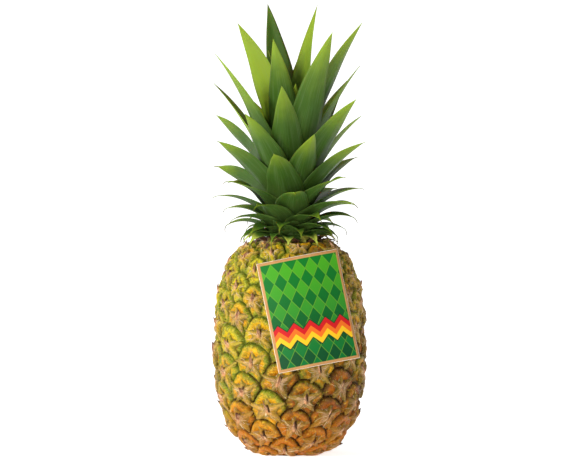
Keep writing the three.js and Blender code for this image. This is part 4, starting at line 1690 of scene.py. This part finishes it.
# %% Floor, lights and sky
FLOOR_RADIUS = 30
FLOOR_COLOURS = (paint(240, 240, 238), paint(246, 246, 244))
NEAR_GLOW = (0.75, 0.75, 0.75, 1)  # the floor itself glows, less near the fruit than far from it
FAR_GLOW = (1, 1, 1, 1)
FAR_FLOOR = (0.45, 1.3)  # metres from the fruit, between which the floor brightens to the sky's white
LIGHTS = {
    "key": {"at": (-1.4, -1.15, 1.1), "size": 0.4, "power": 35},
    "front": {"at": (-0.3, -1.9, 0.12), "size": 0.8, "power": 18},
    "fill": {"at": (1.5, -1.2, 0.5), "size": 1.4, "power": 0.5},
    "back": {"at": (-0.5, 1.3, 1.1), "size": 0.9, "power": 3},
}
LIT_POINT = Vector((0, 0, 0.18))
SKY = {"light": 0.34, "seen": 1.0}


def add_floor():
    bpy.ops.mesh.primitive_circle_add(vertices=96, radius=FLOOR_RADIUS, fill_type="NGON")
    floor = bpy.context.object
    floor.name = "floor"
    r = Recipe("pale_floor")
    away = r.node("VectorMath", {0: r.here()}, output="Value", operation="LENGTH")
    glow = r.blend(away.spread(*FAR_FLOOR), NEAR_GLOW, FAR_GLOW)
    colour = r.blend(r.noise(r.here(), *NOISES["floor"]), *FLOOR_COLOURS)
    floor.data.materials.append(r.finish(colour, 0.9, Emission_Color=glow, Emission_Strength=1.0))


def add_light(name, at, size, power):
    data = bpy.data.lights.new(name, "AREA")
    data.shape = "DISK"
    data.size = size
    data.energy = power
    light = bpy.data.objects.new(name, data)
    light.location = at
    light.rotation_euler = (LIT_POINT - Vector(at)).to_track_quat("-Z", "Y").to_euler()
    bpy.context.collection.objects.link(light)


def add_sky():
    """A white sky, brighter where the camera sees it than as a light."""
    world = bpy.data.worlds.new("studio")
    world.use_nodes = True
    tree = world.node_tree
    sky = tree.nodes["Background"]
    seen = tree.nodes.new("ShaderNodeLightPath").outputs["Is Camera Ray"]
    strength = tree.nodes.new("ShaderNodeMapRange")
    strength.inputs["To Min"].default_value = SKY["light"]
    strength.inputs["To Max"].default_value = SKY["seen"]
    tree.links.new(seen, strength.inputs["Value"])
    tree.links.new(strength.outputs[0], sky.inputs["Strength"])
    sky.inputs["Color"].default_value = (1, 1, 1, 1)
    bpy.context.scene.world = world


add_floor()
for name, light in LIGHTS.items():
    add_light(name, **light)
add_sky()
bpy.context.scene.view_settings.view_transform = "Standard"
print("lights:", ", ".join(LIGHTS))
